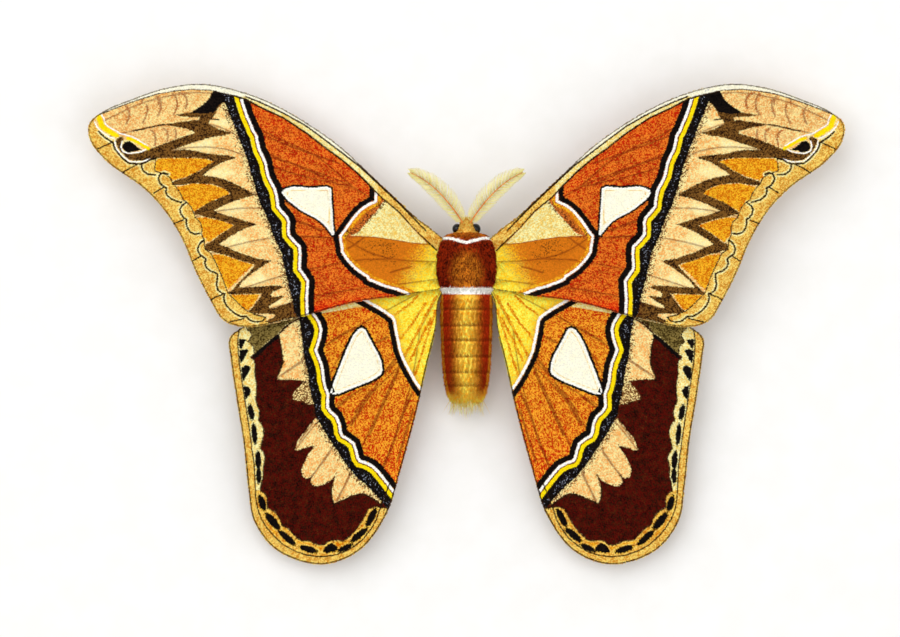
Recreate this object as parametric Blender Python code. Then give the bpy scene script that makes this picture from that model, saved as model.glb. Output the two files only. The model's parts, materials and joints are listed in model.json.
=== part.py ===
"""A life-size giant silk moth at rest, wings spread flat, standing on its six legs.

All sizes are in millimetres and are scaled to metres as each mesh is made.
+X is the moth's right, +Y is ahead of it and +Z is up. The origin is on the floor,
below the middle of the box round the wings. The right-hand pieces are modelled, and
the left-hand ones are mirrored from them.
"""

import math

import bmesh
import bpy
import numpy as np
from mathutils import Matrix, Vector
from mathutils.geometry import delaunay_2d_cdt

MM = 0.001
GAP = 0.3
SMOOTH_ANGLE = math.radians(40)

# Body
THORAX_FRONT_Y = 17.5
THORAX_REAR_Y = 7.2
THORAX_HALF_WIDTH = 5.4
THORAX_HALF_HEIGHT = 4.4
THORAX_AXIS_Z = 7.2
THORAX_RINGS = 11
BODY_SIDES = 28
BODY_SQUARENESS = 2.35

ABDOMEN_LENGTH = 21.4
ABDOMEN_HALF_WIDTH = 4.9
ABDOMEN_HALF_HEIGHT = 4.1
ABDOMEN_AXIS_Z = 6.7
ABDOMEN_DROP = 2.1
ABDOMEN_TAPER = 0.12
ABDOMEN_SEGMENTS = 7
ABDOMEN_GROOVE = 0.22
ABDOMEN_END_SHARE = 0.965
TAIL_LOCKS = 9
TAIL_LOCK_LENGTH = 4.0
TAIL_LOCK_WIDTH = 0.8
TAIL_LOCK_THICKNESS = 0.5

# Head, eyes and antennae
HEAD_CENTRE = (0.0, 18.1, 7.3)
HEAD_RADII = (2.15, 1.75, 2.2)
FRONS_CENTRE = (0.0, 19.2, 7.3)
FRONS_RADII = (1.1, 1.0, 1.3)
PALP_ROOT = (0.55, 18.9, 5.9)
PALP_TIP = (0.7, 19.9, 5.0)
PALP_RADIUS = 0.5
EYE_CENTRE = (1.85, 18.1, 7.3)
EYE_RADIUS = 1.0
ANTENNA_PATH = ((0.6, 18.8, 8.0), (0.95, 19.5, 8.6), (2.2, 21.6, 9.2), (4.2, 24.2, 9.6),
                (6.3, 26.2, 9.8), (8.4, 27.6, 9.9), (10.4, 28.5, 9.8))
ANTENNA_RADII = (0.42, 0.28)
ANTENNA_SIDES = 6
ANTENNA_BARBS = 12
BARB_START_SHARE = 0.16
BARB_LENGTHS = {1: 1.75, -1: 2.15}
BARB_WIDTH = 0.5
BARB_TIP_WIDTH = 0.22
BARB_SWEEP = (math.radians(32), math.radians(54))

# Legs: hip, knee, ankle, heel of the foot and its tip
LEG_PATHS = {
    "front": ((2.3, 14.6, 4.3), (6.9, 15.8, 5.3), (10.3, 17.4, 1.4), (11.3, 18.2, 0.34), (14.0, 19.9, 0.27)),
    "middle": ((2.6, 11.6, 4.0), (8.3, 11.2, 5.4), (12.2, 10.0, 1.4), (13.3, 9.6, 0.34), (16.4, 8.6, 0.27)),
    "hind": ((2.4, 9.0, 4.0), (7.6, 5.4, 5.4), (10.4, 0.9, 1.4), (11.0, -0.2, 0.34), (12.6, -3.4, 0.27)),
}
LEG_SIDES = 8
LEG_RADII = {"hip": 0.85, "thigh": 0.95, "knee": 0.6, "shin": 0.68, "ankle": 0.42}
FOOT_SEGMENTS = 4
FOOT_RADII = (0.42, 0.33)
FOOT_WAIST = 0.74
CLAW_LENGTH = 0.75
CLAW_RADIUS = 0.16
CLAW_SPREAD = math.radians(28)

# Wings
MEMBRANE = 0.5
ROOT_X = 5.0
FOREWING_ROOT_Y = 16.0
FOREWING_ROOT_Z = 9.2
FOREWING_RISE = 0.05
FOREWING_DROOP = 0.0011
FOREWING_SWEEP = math.radians(17)
FOREWING_CAMBER = 0.0022
FOREWING_CREST = -5.0
HINDWING_ROOT_Y = 8.0
HINDWING_ROOT_Z = 7.8
HINDWING_RISE = 0.03
HINDWING_DROOP = 0.0016
PLEAT_DEPTH = 0.22
PLEAT_REACH = 2.6
OUTLINE_STEP = 2.4
VEIN_STEP = 3.2
FILL_STEP = 4.2
CLEAR_OF_VEINS = 1.1
VEIN_HALF_WIDTH = (0.6, 0.42)
VEIN_HEIGHT = (0.3, 0.18)
UNDERSIDE_SHARE = 0.5

FOREWING_OUTLINE = (
    (3.2, 14.4), (10.0, 20.6), (16.0, 26.3), (24.5, 34.0), (34.0, 40.1), (41.0, 43.1), (49.0, 44.75),
    (56.0, 43.9), (62.0, 41.9), (67.2, 39.7), (69.8, 37.4), (69.5, 34.3), (66.3, 30.4), (60.0, 25.9),
    (56.0, 21.8), (52.4, 16.0), (50.0, 10.2), (47.3, 4.9), (44.9, 1.2), (41.0, -0.05), (33.0, 1.3),
    (20.0, 4.7), (10.0, 6.1), (3.2, 7.9),
)
HINDWING_OUTLINE = (
    (3.4, 10.4), (14.0, 9.1), (26.0, 6.2), (36.0, 2.4), (41.2, -0.1), (43.8, -2.3), (43.6, -6.0),
    (42.6, -13.0), (41.2, -22.0), (40.4, -30.0), (39.3, -36.3), (35.0, -41.7), (27.0, -44.2), (20.0, -41.6),
    (15.0, -34.9), (12.3, -26.5), (9.2, -15.0), (7.4, -7.0), (5.7, 0.0), (5.2, 4.8), (3.4, 8.2),
)
FOREWING_VEINS = {
    "subcosta": ((4.0, 13.8), (17.0, 25.2), (27.0, 34.2), (38.0, 40.6), (49.0, 43.2), (59.0, 41.6), (67.2, 38.0)),
    "radius": ((4.0, 12.9), (13.0, 20.0), (21.0, 25.7), (35.5, 31.4), (47.0, 37.2), (56.0, 37.2), (68.2, 34.6)),
    "radial_branch": ((21.0, 25.7), (27.5, 31.2), (36.0, 35.3), (46.0, 40.8)),
    "media_1": ((21.0, 25.7), (29.0, 27.4), (37.0, 29.8), (45.0, 32.8), (54.0, 32.6), (63.0, 28.9)),
    "media_2": ((23.9, 17.2), (29.5, 20.9), (37.0, 24.0), (47.0, 25.6), (57.4, 24.9)),
    "media_3": ((23.9, 17.2), (30.0, 18.8), (37.0, 21.6), (45.0, 21.4), (53.6, 19.2)),
    "cubital_stem": ((4.0, 11.9), (12.0, 12.2), (18.0, 13.6), (23.9, 17.2)),
    "cubitus_1": ((22.6, 16.0), (29.0, 16.6), (36.0, 16.3), (44.0, 14.6), (49.8, 12.4)),
    "cubitus_2": ((14.0, 12.4), (20.0, 12.2), (27.0, 10.9), (34.0, 9.3), (46.7, 5.2)),
    "anal": ((4.0, 8.9), (12.0, 7.8), (20.0, 6.9), (28.0, 5.5), (35.0, 3.6), (43.0, 1.1)),
}
HINDWING_VEINS = {
    "costal": ((4.2, 9.3), (14.0, 8.0), (24.0, 5.6), (34.0, 2.0), (41.8, -1.8)),
    "radial_sector": ((4.2, 8.5), (12.0, 4.4), (19.0, 0.6), (25.8, -3.4), (34.5, -9.2), (42.0, -15.4)),
    "media_1": ((19.0, 0.6), (22.8, -4.5), (26.6, -11.0), (32.0, -17.0), (40.7, -23.8)),
    "media_2": ((11.4, -5.2), (16.3, -9.8), (21.0, -12.6), (25.5, -15.6), (31.0, -22.0), (39.2, -33.8)),
    "media_3": ((12.5, -7.5), (16.5, -11.4), (22.0, -18.5), (29.0, -28.5), (36.3, -39.5)),
    "cubital_stem": ((4.2, 7.6), (8.6, -0.5), (12.5, -7.5)),
    "cubitus_1": ((12.5, -7.5), (17.7, -18.8), (22.6, -29.5), (28.4, -43.3)),
    "cubitus_2": ((8.6, -0.5), (9.9, -9.0), (12.4, -18.0), (16.2, -28.5), (22.0, -42.2)),
}

FINISHES = {
    "wing": ((0.55, 0.2, 0.05), 0.75),
    "thorax": ((0.16, 0.03, 0.015), 0.9),
    "abdomen": ((0.5, 0.24, 0.05), 0.9),
    "head": ((0.75, 0.55, 0.25), 0.9),
    "eye": ((0.01, 0.008, 0.008), 0.2),
    "antenna": ((0.8, 0.6, 0.25), 0.8),
    "leg": ((0.4, 0.18, 0.06), 0.85),
}


def clear_scene():
    """Removes whatever the file starts with."""
    for obj in list(bpy.data.objects):
        bpy.data.objects.remove(obj)


def finish(name):
    """The named finish as a material, made on first use."""
    material = bpy.data.materials.get(name)
    if material is None:
        colour, roughness = FINISHES[name]
        material = bpy.data.materials.new(name)
        material.use_nodes = True
        shader = material.node_tree.nodes["Principled BSDF"]
        shader.inputs["Base Color"].default_value = (*colour, 1.0)
        shader.inputs["Roughness"].default_value = roughness
        shader.inputs["Metallic"].default_value = 0.0
    return material


def add_object(name, bm, finish_name):
    """Makes an object from a bmesh in millimetres, with its faces out."""
    bmesh.ops.recalc_face_normals(bm, faces=bm.faces)
    bmesh.ops.scale(bm, vec=(MM, MM, MM), verts=bm.verts)
    mesh = bpy.data.meshes.new(name)
    bm.to_mesh(mesh)
    bm.free()
    mesh.shade_smooth()
    mesh.set_sharp_from_angle(angle=SMOOTH_ANGLE)
    mesh.materials.append(finish(finish_name))
    obj = bpy.data.objects.new(name, mesh)
    bpy.context.scene.collection.objects.link(obj)
    return obj


def loft(bm, rings):
    """Skins a row of rings that have the same number of points, and caps both ends."""
    loops = [[bm.verts.new(point) for point in ring] for ring in rings]
    for near, far in zip(loops, loops[1:]):
        for i in range(len(near)):
            j = (i + 1) % len(near)
            bm.faces.new((near[i], near[j], far[j], far[i]))
    bm.faces.new(loops[0][::-1])
    bm.faces.new(loops[-1])


def tube_rings(path, widths, heights, sides):
    """Rings across a path, kept level with the floor, with a flat side of the ring below."""
    rings = []
    for i, point in enumerate(path):
        before, after = path[max(i - 1, 0)], path[min(i + 1, len(path) - 1)]
        along = (Vector(after) - Vector(before)).normalized()
        side = along.cross(Vector((0, 0, 1))).normalized()
        up = side.cross(along)
        ring = []
        for k in range(sides):
            turn = 2 * math.pi * (k + 0.5) / sides
            ring.append(Vector(point) + side * widths[i] * math.sin(turn) + up * heights[i] * math.cos(turn))
        rings.append(ring)
    return rings


def evenly(values, count):
    """Values spread over a list by straight runs, such as a radius along a path."""
    return [float(v) for v in np.interp(np.linspace(0, 1, count), np.linspace(0, 1, len(values)), values)]


def smooth_line(points, step, closed=False):
    """Points about one step apart on a smooth curve through the given points."""
    given = np.array(points, float)
    if closed:
        ring = np.vstack([given[-1], given, given[0], given[1]])
    else:
        ring = np.vstack([2 * given[0] - given[1], given, 2 * given[-1] - given[-2]])
    found = []
    for p0, p1, p2, p3 in zip(ring, ring[1:], ring[2:], ring[3:]):
        t0 = 0.0
        t1 = t0 + math.sqrt(np.linalg.norm(p1 - p0))
        t2 = t1 + math.sqrt(np.linalg.norm(p2 - p1))
        t3 = t2 + math.sqrt(np.linalg.norm(p3 - p2))
        pieces = max(1, round(np.linalg.norm(p2 - p1) / step))
        for t in np.linspace(t1, t2, pieces, endpoint=False):
            a1 = ((t1 - t) * p0 + (t - t0) * p1) / (t1 - t0)
            a2 = ((t2 - t) * p1 + (t - t1) * p2) / (t2 - t1)
            a3 = ((t3 - t) * p2 + (t - t2) * p3) / (t3 - t2)
            b1 = ((t2 - t) * a1 + (t - t0) * a2) / (t2 - t0)
            b2 = ((t3 - t) * a2 + (t - t1) * a3) / (t3 - t1)
            found.append(((t2 - t) * b1 + (t - t1) * b2) / (t2 - t1))
    if not closed:
        found.append(given[-1])
    return np.array(found)


def keep_largest(obj):
    """Drops every loose scrap and sealed hollow, and leaves the largest closed surface."""
    bm = bmesh.new()
    bm.from_mesh(obj.data)
    left = set(bm.verts)
    islands = []
    while left:
        todo = [left.pop()]
        island = set(todo)
        while todo:
            for edge in todo.pop().link_edges:
                for vert in edge.verts:
                    if vert in left:
                        left.discard(vert)
                        island.add(vert)
                        todo.append(vert)
        islands.append(island)
    islands.sort(key=len)
    for island in islands[:-1]:
        bmesh.ops.delete(bm, geom=list(island), context="VERTS")
    bmesh.ops.triangulate(bm, faces=bm.faces)
    bm.to_mesh(obj.data)
    bm.free()


def join_or_cut(obj, others, operation, solver="EXACT"):
    """Applies one Boolean between an object and several helpers, then removes the helpers."""
    helpers = bpy.data.collections.new("helpers")
    for other in others:
        for owner in list(other.users_collection):
            owner.objects.unlink(other)
        helpers.objects.link(other)
    bpy.context.scene.collection.children.link(helpers)
    modifier = obj.modifiers.new("boolean", "BOOLEAN")
    modifier.operation = operation
    modifier.operand_type = "COLLECTION"
    modifier.collection = helpers
    modifier.solver = solver
    graph = bpy.context.evaluated_depsgraph_get()
    made = bpy.data.meshes.new_from_object(obj.evaluated_get(graph))
    obj.modifiers.remove(modifier)
    obj.data = made
    obj.data.name = obj.name
    for other in others:
        bpy.data.objects.remove(other)
    bpy.data.collections.remove(helpers)
    keep_largest(obj)


def mirrored(obj, name):
    """A left-hand copy of a right-hand piece."""
    bm = bmesh.new()
    bm.from_mesh(obj.data)
    bmesh.ops.transform(bm, matrix=Matrix.Diagonal((-1 / MM, 1 / MM, 1 / MM, 1)), verts=bm.verts)
    return add_object(name, bm, obj.data.materials[0].name)


def body_ring(y, half_width, half_height, axis_z, grow=0.0):
    """A rounded, slightly squared ring across the body."""
    ring = []
    power = 2 / BODY_SQUARENESS
    for k in range(BODY_SIDES):
        turn = 2 * math.pi * k / BODY_SIDES
        c, s = math.cos(turn), math.sin(turn)
        x = (half_width + grow) * math.copysign(abs(c) ** power, c)
        z = (half_height + grow) * math.copysign(abs(s) ** power, s)
        ring.append((x, y, axis_z + z))
    return ring


def thorax(name="thorax", grow=0.0):
    """The barrel of the thorax, flat behind and rounded ahead. Grown, it is the cutter for what meets it."""
    bm = bmesh.new()
    rings = []
    length = THORAX_FRONT_Y - THORAX_REAR_Y
    for i in range(THORAX_RINGS):
        share = math.sin(0.5 * math.pi * i / (THORAX_RINGS - 1))
        plump = (1 - 0.985 * share ** 5) ** (1 / 2.6)
        rear_taper = 1 - 0.05 * (1 - share) ** 2
        y = THORAX_REAR_Y - grow + share * (length + 2 * grow)
        rings.append(body_ring(y, THORAX_HALF_WIDTH * plump * rear_taper,
                               THORAX_HALF_HEIGHT * plump * rear_taper, THORAX_AXIS_Z, grow))
    loft(bm, rings)
    return add_object(name, bm, "thorax")


def abdomen_at(share, grow=0.0):
    """Where the abdomen's ring is and how large, from its front at 0 to its end at 1."""
    plump = (1 - share ** 6) ** 0.4 * (1 - ABDOMEN_TAPER * share)
    return (THORAX_REAR_Y - GAP - share * ABDOMEN_LENGTH,
            ABDOMEN_HALF_WIDTH * plump + grow,
            ABDOMEN_HALF_HEIGHT * plump + grow,
            ABDOMEN_AXIS_Z - ABDOMEN_DROP * share)


def abdomen(name="abdomen", grow=0.0):
    """The abdomen, its segments parted by shallow grooves."""
    bm = bmesh.new()
    rings = []
    for segment in range(ABDOMEN_SEGMENTS):
        for within, depth in ((0.0, 1.0), (0.14, 0.2), (0.5, -0.25), (0.86, 0.1)):
            share = (segment + within) / ABDOMEN_SEGMENTS * ABDOMEN_END_SHARE
            y, half_width, half_height, axis_z = abdomen_at(share, grow)
            groove = ABDOMEN_GROOVE * depth
            rings.append(body_ring(y, half_width - groove, half_height - groove, axis_z))
    rings.append(body_ring(*abdomen_at(ABDOMEN_END_SHARE, grow)))
    rings.append(body_ring(*abdomen_at(0.5 + 0.5 * ABDOMEN_END_SHARE, grow - 0.3)))
    loft(bm, rings)
    return add_object(name, bm, "abdomen")


def body_cutters():
    """The thorax and abdomen grown by the gap, to cut what meets them."""
    return [thorax("cutter", GAP), abdomen("cutter_behind", GAP)]


def tail_locks():
    """The flat pale locks that fan out behind the last segment."""
    locks = []
    end_y, half_width, _, axis_z = abdomen_at(ABDOMEN_END_SHARE)
    for i in range(TAIL_LOCKS):
        across = 2 * i / (TAIL_LOCKS - 1) - 1
        level = axis_z + (0.55 if i % 2 else -0.55)
        reach = TAIL_LOCK_LENGTH * (1 - 0.25 * across * across)
        root = (across * half_width * 0.72, end_y + 1.2, level)
        middle = (across * half_width * 0.86, end_y + 1.2 - 0.55 * reach, level - 0.15)
        tip = (across * half_width * 0.95, end_y + 1.2 - reach, level - 0.5)
        bm = bmesh.new()
        loft(bm, tube_rings((root, middle, tip), (TAIL_LOCK_WIDTH, 0.85 * TAIL_LOCK_WIDTH, 0.2),
                            (TAIL_LOCK_THICKNESS, TAIL_LOCK_THICKNESS, 0.2), 4))
        locks.append(add_object("lock", bm, "abdomen"))
    return locks


def ball(name, centre, radii, finish_name, sides=20):
    """A closed ball or egg."""
    bm = bmesh.new()
    bmesh.ops.create_uvsphere(bm, u_segments=sides, v_segments=sides // 2 + 2, radius=1.0)
    bmesh.ops.transform(bm, matrix=Matrix.Translation(centre) @ Matrix.Diagonal((*radii, 1)), verts=bm.verts)
    return add_object(name, bm, finish_name)


def tapered_tube(name, path, radii, sides, finish_name):
    """A round tube whose radius changes along its path, flattened where it would pass below the floor."""
    bm = bmesh.new()
    loft(bm, tube_rings(path, radii, radii, sides))
    for vert in bm.verts:
        vert.co.z = max(vert.co.z, 0.0)
    return add_object(name, bm, finish_name)


def grown_eye(side):
    """The hollow that an eye sits in, with the gap round it."""
    x, y, z = EYE_CENTRE
    return ball("socket", (side * x, y, z), (EYE_RADIUS + GAP,) * 3, "eye")


def skull(grow=0.0):
    """The egg of the head and the brow ahead of it, as two balls."""
    return [ball(name, centre, [radius + grow for radius in radii], "head", sides)
            for name, centre, radii, sides in (("head", HEAD_CENTRE, HEAD_RADII, 20),
                                               ("brow", FRONS_CENTRE, FRONS_RADII, 14))]


def head():
    """The head with its brow, palps and the two eye sockets, cut clear of the thorax."""
    egg, *pieces = skull()
    for side in (1, -1):
        ends = [(side * x, y, z) for x, y, z in (PALP_ROOT, PALP_TIP)]
        pieces.append(tapered_tube("palp", ends, (PALP_RADIUS, 0.6 * PALP_RADIUS), 8, "head"))
    join_or_cut(egg, pieces, "UNION")
    join_or_cut(egg, [grown_eye(1), grown_eye(-1), thorax("cutter", GAP)], "DIFFERENCE")


def eyes():
    """Both eyes, cut clear of the thorax behind them."""
    x, y, z = EYE_CENTRE
    right = ball("eye_right", (x, y, z), (EYE_RADIUS,) * 3, "eye", 16)
    join_or_cut(right, [thorax("cutter", GAP)], "DIFFERENCE")
    mirrored(right, "eye_left")


def barb(path, share, side):
    """One barb of the antenna, swept towards the tip, with its root inside the shaft."""
    place = share * (len(path) - 1)
    i = min(int(place), len(path) - 2)
    start = Vector(path[i]).lerp(Vector(path[i + 1]), place - i)
    along = (Vector(path[i + 1]) - Vector(path[i])).normalized()
    out = along.cross(Vector((0, 0, 1))).normalized() * side
    length = BARB_LENGTHS[side] * max(0.25, math.sin(math.pi * (0.1 + 0.86 * share)) ** 0.6)
    points = [start]
    for sweep in BARB_SWEEP:
        points.append(points[-1] + (out * math.cos(sweep) + along * math.sin(sweep)) * length / 2)
    half = (BARB_WIDTH / 2, 0.45 * BARB_WIDTH, BARB_TIP_WIDTH / 2)
    bm = bmesh.new()
    loft(bm, tube_rings(points, half, half, 4))
    return add_object("barb", bm, "antenna")


def antennae():
    """Both antennae: a curved shaft with two rows of barbs, like a feather."""
    path = [tuple(p) for p in smooth_line(ANTENNA_PATH, 1.3)]
    right = tapered_tube("antenna_right", path, evenly(ANTENNA_RADII, len(path)), ANTENNA_SIDES, "antenna")
    barbs = []
    for i in range(ANTENNA_BARBS):
        share = BARB_START_SHARE + (0.97 - BARB_START_SHARE) * i / (ANTENNA_BARBS - 1)
        barbs += [barb(path, share, side) for side in (1, -1)]
    join_or_cut(right, barbs, "UNION")
    join_or_cut(right, skull(GAP), "DIFFERENCE")
    mirrored(right, "antenna_left")


def leg_rings(hip, knee, ankle, heel, tip):
    """The middle line and radii of a leg: thigh, shin, and a foot of short swollen segments."""
    size = LEG_RADII
    points = [hip, hip.lerp(knee, 0.4), hip.lerp(knee, 0.85), knee,
              knee.lerp(ankle, 0.15), knee.lerp(ankle, 0.55), ankle]
    radii = [size["hip"], size["thigh"], 0.5 * (size["thigh"] + size["knee"]), size["knee"],
             size["shin"], 0.5 * (size["shin"] + size["ankle"]), size["ankle"]]
    for segment in range(FOOT_SEGMENTS):
        for within, swell in ((0.0, FOOT_WAIST), (0.35, 1.0), (0.9, 1.0)):
            share = (segment + within) / FOOT_SEGMENTS
            points.append(heel.lerp(tip, share))
            radii.append(swell * (FOOT_RADII[0] + (FOOT_RADII[1] - FOOT_RADII[0]) * share))
    return points, radii


def claws(heel, tip):
    """The pair of hooked claws at the end of a foot."""
    ahead = (tip - heel).normalized()
    hooks = []
    for side in (1, -1):
        way = Matrix.Rotation(side * CLAW_SPREAD, 3, "Z") @ ahead
        points = [tip - ahead * 0.45, tip + way * 0.4 * CLAW_LENGTH, tip + way * CLAW_LENGTH]
        points[2].z = 0.08
        hooks.append(tapered_tube("claw", points, (CLAW_RADIUS, CLAW_RADIUS, 0.07), 5, "leg"))
    return hooks


def legs():
    """Three pairs of legs, each ending in a foot that lies flat on the floor."""
    for name, path in LEG_PATHS.items():
        hip, knee, ankle, heel, tip = (Vector(p) for p in path)
        right = tapered_tube(f"leg_{name}_right", *leg_rings(hip, knee, ankle, heel, tip), LEG_SIDES, "leg")
        join_or_cut(right, claws(heel, tip), "UNION")
        join_or_cut(right, body_cutters(), "DIFFERENCE")
        mirrored(right, f"leg_{name}_left")


def forewing_height(x, y):
    """How high the middle of the forewing's membrane is: it rises from the root, then droops, with a camber."""
    out = x - ROOT_X
    across = (y - FOREWING_ROOT_Y) * math.cos(FOREWING_SWEEP) - out * math.sin(FOREWING_SWEEP)
    return (FOREWING_ROOT_Z + FOREWING_RISE * out - FOREWING_DROOP * out ** 2
            - FOREWING_CAMBER * (across - FOREWING_CREST) ** 2)


def hindwing_height(x, y):
    """How high the middle of the hindwing's membrane is: it droops away from the root."""
    out = np.hypot(x - ROOT_X, y - HINDWING_ROOT_Y)
    return HINDWING_ROOT_Z + HINDWING_RISE * out - HINDWING_DROOP * out ** 2


def inside(outline, points):
    """Which points lie within a closed outline."""
    x, y = points[:, 0], points[:, 1]
    found = np.zeros(len(points), bool)
    for (x0, y0), (x1, y1) in zip(outline, np.roll(outline, -1, axis=0)):
        crosses = (y0 > y) != (y1 > y)
        with np.errstate(divide="ignore", invalid="ignore"):
            at = x0 + (y - y0) * (x1 - x0) / (y1 - y0)
        found ^= crosses & (x < at)
    return found


def line_distance(line, points):
    """Each point's distance to a line of straight runs, and its share of the way along."""
    nearest = np.full(len(points), np.inf)
    share = np.zeros(len(points))
    for i, (a, b) in enumerate(zip(line, line[1:])):
        t = np.clip((points - a) @ (b - a) / ((b - a) @ (b - a)), 0, 1)
        gap = np.linalg.norm(points - (a + t[:, None] * (b - a)), axis=1)
        closer = gap < nearest
        nearest[closer] = gap[closer]
        share[closer] = (i + t[closer]) / (len(line) - 1)
    return nearest, share


def vein_relief(lines, points):
    """How far the veins stand up at each point, and how far the membrane sags between them."""
    raised = np.zeros(len(points))
    clear = np.full(len(points), np.inf)
    for line in lines:
        away, share = line_distance(line, points)
        half_width = np.interp(share, (0, 1), VEIN_HALF_WIDTH)
        height = np.interp(share, (0, 1), VEIN_HEIGHT) * np.clip((1 - share) * 12, 0, 1)
        raised = np.maximum(raised, height * np.clip(1 - away / half_width, 0, 1))
        clear = np.minimum(clear, away)
    sag = PLEAT_DEPTH * (1 - np.exp(-(clear / PLEAT_REACH) ** 2))
    return raised, sag


def vein_strip(line):
    """A vein's crest line with the foot of its slope on either side."""
    along = np.gradient(line, axis=0)
    along /= np.linalg.norm(along, axis=1)[:, None]
    side = np.stack([-along[:, 1], along[:, 0]], axis=1)
    half = np.linspace(*VEIN_HALF_WIDTH, len(line))[:, None]
    return [line, line + side * half, line - side * half]


def wing_plan(outline, lines):
    """Splits a wing's outline into triangles whose edges follow the veins."""
    points, edges = list(outline), [(i, (i + 1) % len(outline)) for i in range(len(outline))]
    for line in lines:
        for run in vein_strip(line):
            within = inside(outline, run) & (line_distance(np.vstack([outline, outline[:1]]), run)[0] > 0.25)
            run = run[within]
            edges += [(len(points) + i, len(points) + i + 1) for i in range(len(run) - 1)]
            points += list(run)
    low, high = outline.min(0), outline.max(0)
    rows = np.arange(low[1], high[1], FILL_STEP * math.sqrt(0.75))
    fill = np.array([(x + FILL_STEP / 2 * (i % 2), y) for i, y in enumerate(rows)
                     for x in np.arange(low[0], high[0], FILL_STEP)])
    clear = np.min([line_distance(line, fill)[0] for line in lines], axis=0) > CLEAR_OF_VEINS
    clear &= line_distance(np.vstack([outline, outline[:1]]), fill)[0] > CLEAR_OF_VEINS
    points += list(fill[clear & inside(outline, fill)])
    verts, _, faces, _, _, _ = delaunay_2d_cdt([Vector(p) for p in points], edges, [], 0, 1e-4)
    flat = np.array([tuple(v) for v in verts])
    middles = np.array([flat[list(face)].mean(0) for face in faces])
    return flat, [face for face, kept in zip(faces, inside(outline, middles)) if kept]


def wing(name, outline_points, vein_points, height):
    """A thin wing, its two faces split alike, with the veins raised in them."""
    outline = smooth_line(outline_points, OUTLINE_STEP, closed=True)
    lines = [smooth_line(points, VEIN_STEP) for points in vein_points.values()]
    flat, faces = wing_plan(outline, lines)
    raised, sag = vein_relief(lines, flat)
    middle = height(flat[:, 0], flat[:, 1]) - sag
    bm = bmesh.new()
    top = [bm.verts.new((x, y, z)) for (x, y), z in zip(flat, middle + MEMBRANE / 2 + raised)]
    below = [bm.verts.new((x, y, z)) for (x, y), z in
             zip(flat, middle - MEMBRANE / 2 - raised * UNDERSIDE_SHARE)]
    used = {}
    for face in faces:
        bm.faces.new([top[i] for i in face])
        bm.faces.new([below[i] for i in reversed(face)])
        for i, j in zip(face, (*face[1:], face[0])):
            used[(i, j)] = True
    for i, j in used:
        if (j, i) not in used:
            bm.faces.new((top[j], top[i], below[i], below[j]))
    bmesh.ops.delete(bm, geom=[v for v in bm.verts if not v.link_faces], context="VERTS")
    bmesh.ops.triangulate(bm, faces=bm.faces)
    right = add_object(name + "_right", bm, "wing")
    join_or_cut(right, body_cutters(), "DIFFERENCE")
    mirrored(right, name + "_left")


def main():
    """Builds the whole moth, one object for each named part."""
    clear_scene()
    thorax()
    join_or_cut(abdomen(), tail_locks(), "UNION")
    head()
    antennae()
    eyes()
    legs()
    wing("forewing", FOREWING_OUTLINE, FOREWING_VEINS, forewing_height)
    wing("hindwing", HINDWING_OUTLINE, HINDWING_VEINS, hindwing_height)


main()
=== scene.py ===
"""The looks of a life-size giant silk moth: painted scales, fur, feathered antennae, eyes and legs.

Shapes are worked out in millimetres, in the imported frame's axes: +X to the moth's right, +Y past its head
and +Z up from the floor. Each mesh is scaled to metres as it is made. The right-hand wings, antenna and
legs are described, and the left-hand ones are mirrored from them.
"""

from __future__ import annotations

import json
import logging
import math
from collections.abc import Callable, Sequence
from dataclasses import dataclass
from enum import Enum
from functools import reduce

import bmesh
import bpy
import numpy as np
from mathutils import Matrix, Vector

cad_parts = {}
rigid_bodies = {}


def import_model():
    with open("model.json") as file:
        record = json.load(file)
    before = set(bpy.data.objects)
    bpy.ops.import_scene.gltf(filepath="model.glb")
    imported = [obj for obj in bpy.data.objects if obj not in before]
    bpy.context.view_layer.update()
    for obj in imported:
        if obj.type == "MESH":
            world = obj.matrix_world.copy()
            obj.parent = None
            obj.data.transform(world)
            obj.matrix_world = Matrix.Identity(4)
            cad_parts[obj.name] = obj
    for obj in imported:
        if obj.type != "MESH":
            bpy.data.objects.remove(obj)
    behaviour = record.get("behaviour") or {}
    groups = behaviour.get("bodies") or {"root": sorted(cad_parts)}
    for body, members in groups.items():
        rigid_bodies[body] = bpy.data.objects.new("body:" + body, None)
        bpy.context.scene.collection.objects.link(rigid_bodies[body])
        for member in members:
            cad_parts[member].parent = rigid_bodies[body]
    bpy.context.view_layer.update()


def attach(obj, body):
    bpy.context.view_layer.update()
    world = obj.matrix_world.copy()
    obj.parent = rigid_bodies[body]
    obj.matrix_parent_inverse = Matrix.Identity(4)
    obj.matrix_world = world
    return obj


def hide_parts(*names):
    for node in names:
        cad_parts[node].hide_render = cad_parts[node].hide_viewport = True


LOG = logging.getLogger("moth")
BODY = "root"
Array = np.ndarray
Rng = np.random.Generator
Mesh, Material, Object = bpy.types.Mesh, bpy.types.Material, bpy.types.Object
Node, Socket = bpy.types.Node, bpy.types.NodeSocket
Colour = tuple[int, int, int]
Pair = tuple[float, float]
Triple = tuple[float, float, float]
Points = Sequence[Pair]
Path = Sequence[Triple]
Marks = dict[str, Array]
MM = 0.001  # metres
UV_NAME = "OFBake"
UV_PATCH = 0.003  # how far across each tuft's patch on the map is
EXACT = 6.0  # mm from a line's box within which distances to it are worked out
ABSENT = -5.0  # a depth at which an ink doesn't show anywhere
BUMP_HEIGHT = 0.05  # mm between the lowest and the highest of a surface's grain
EYE = (1.72, 18, 7.3)  # the middle of the right eye, in mm


@dataclass(frozen=True)
class Shade:
    """One colour of the coat, and how its edge looks.

    Args:
        light: The lighter colour that it is mottled with, in sRGB from 0 to 255.
        dark: The darker one.
        soft: Half the width of its edge, in mm.
        ragged: How far the scales' grain moves its edge, in mm.
        strength: How much of what lies below it covers.
    """

    light: Colour
    dark: Colour
    soft: float = 0.07
    ragged: float = 0.16
    strength: float = 1.0


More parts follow.
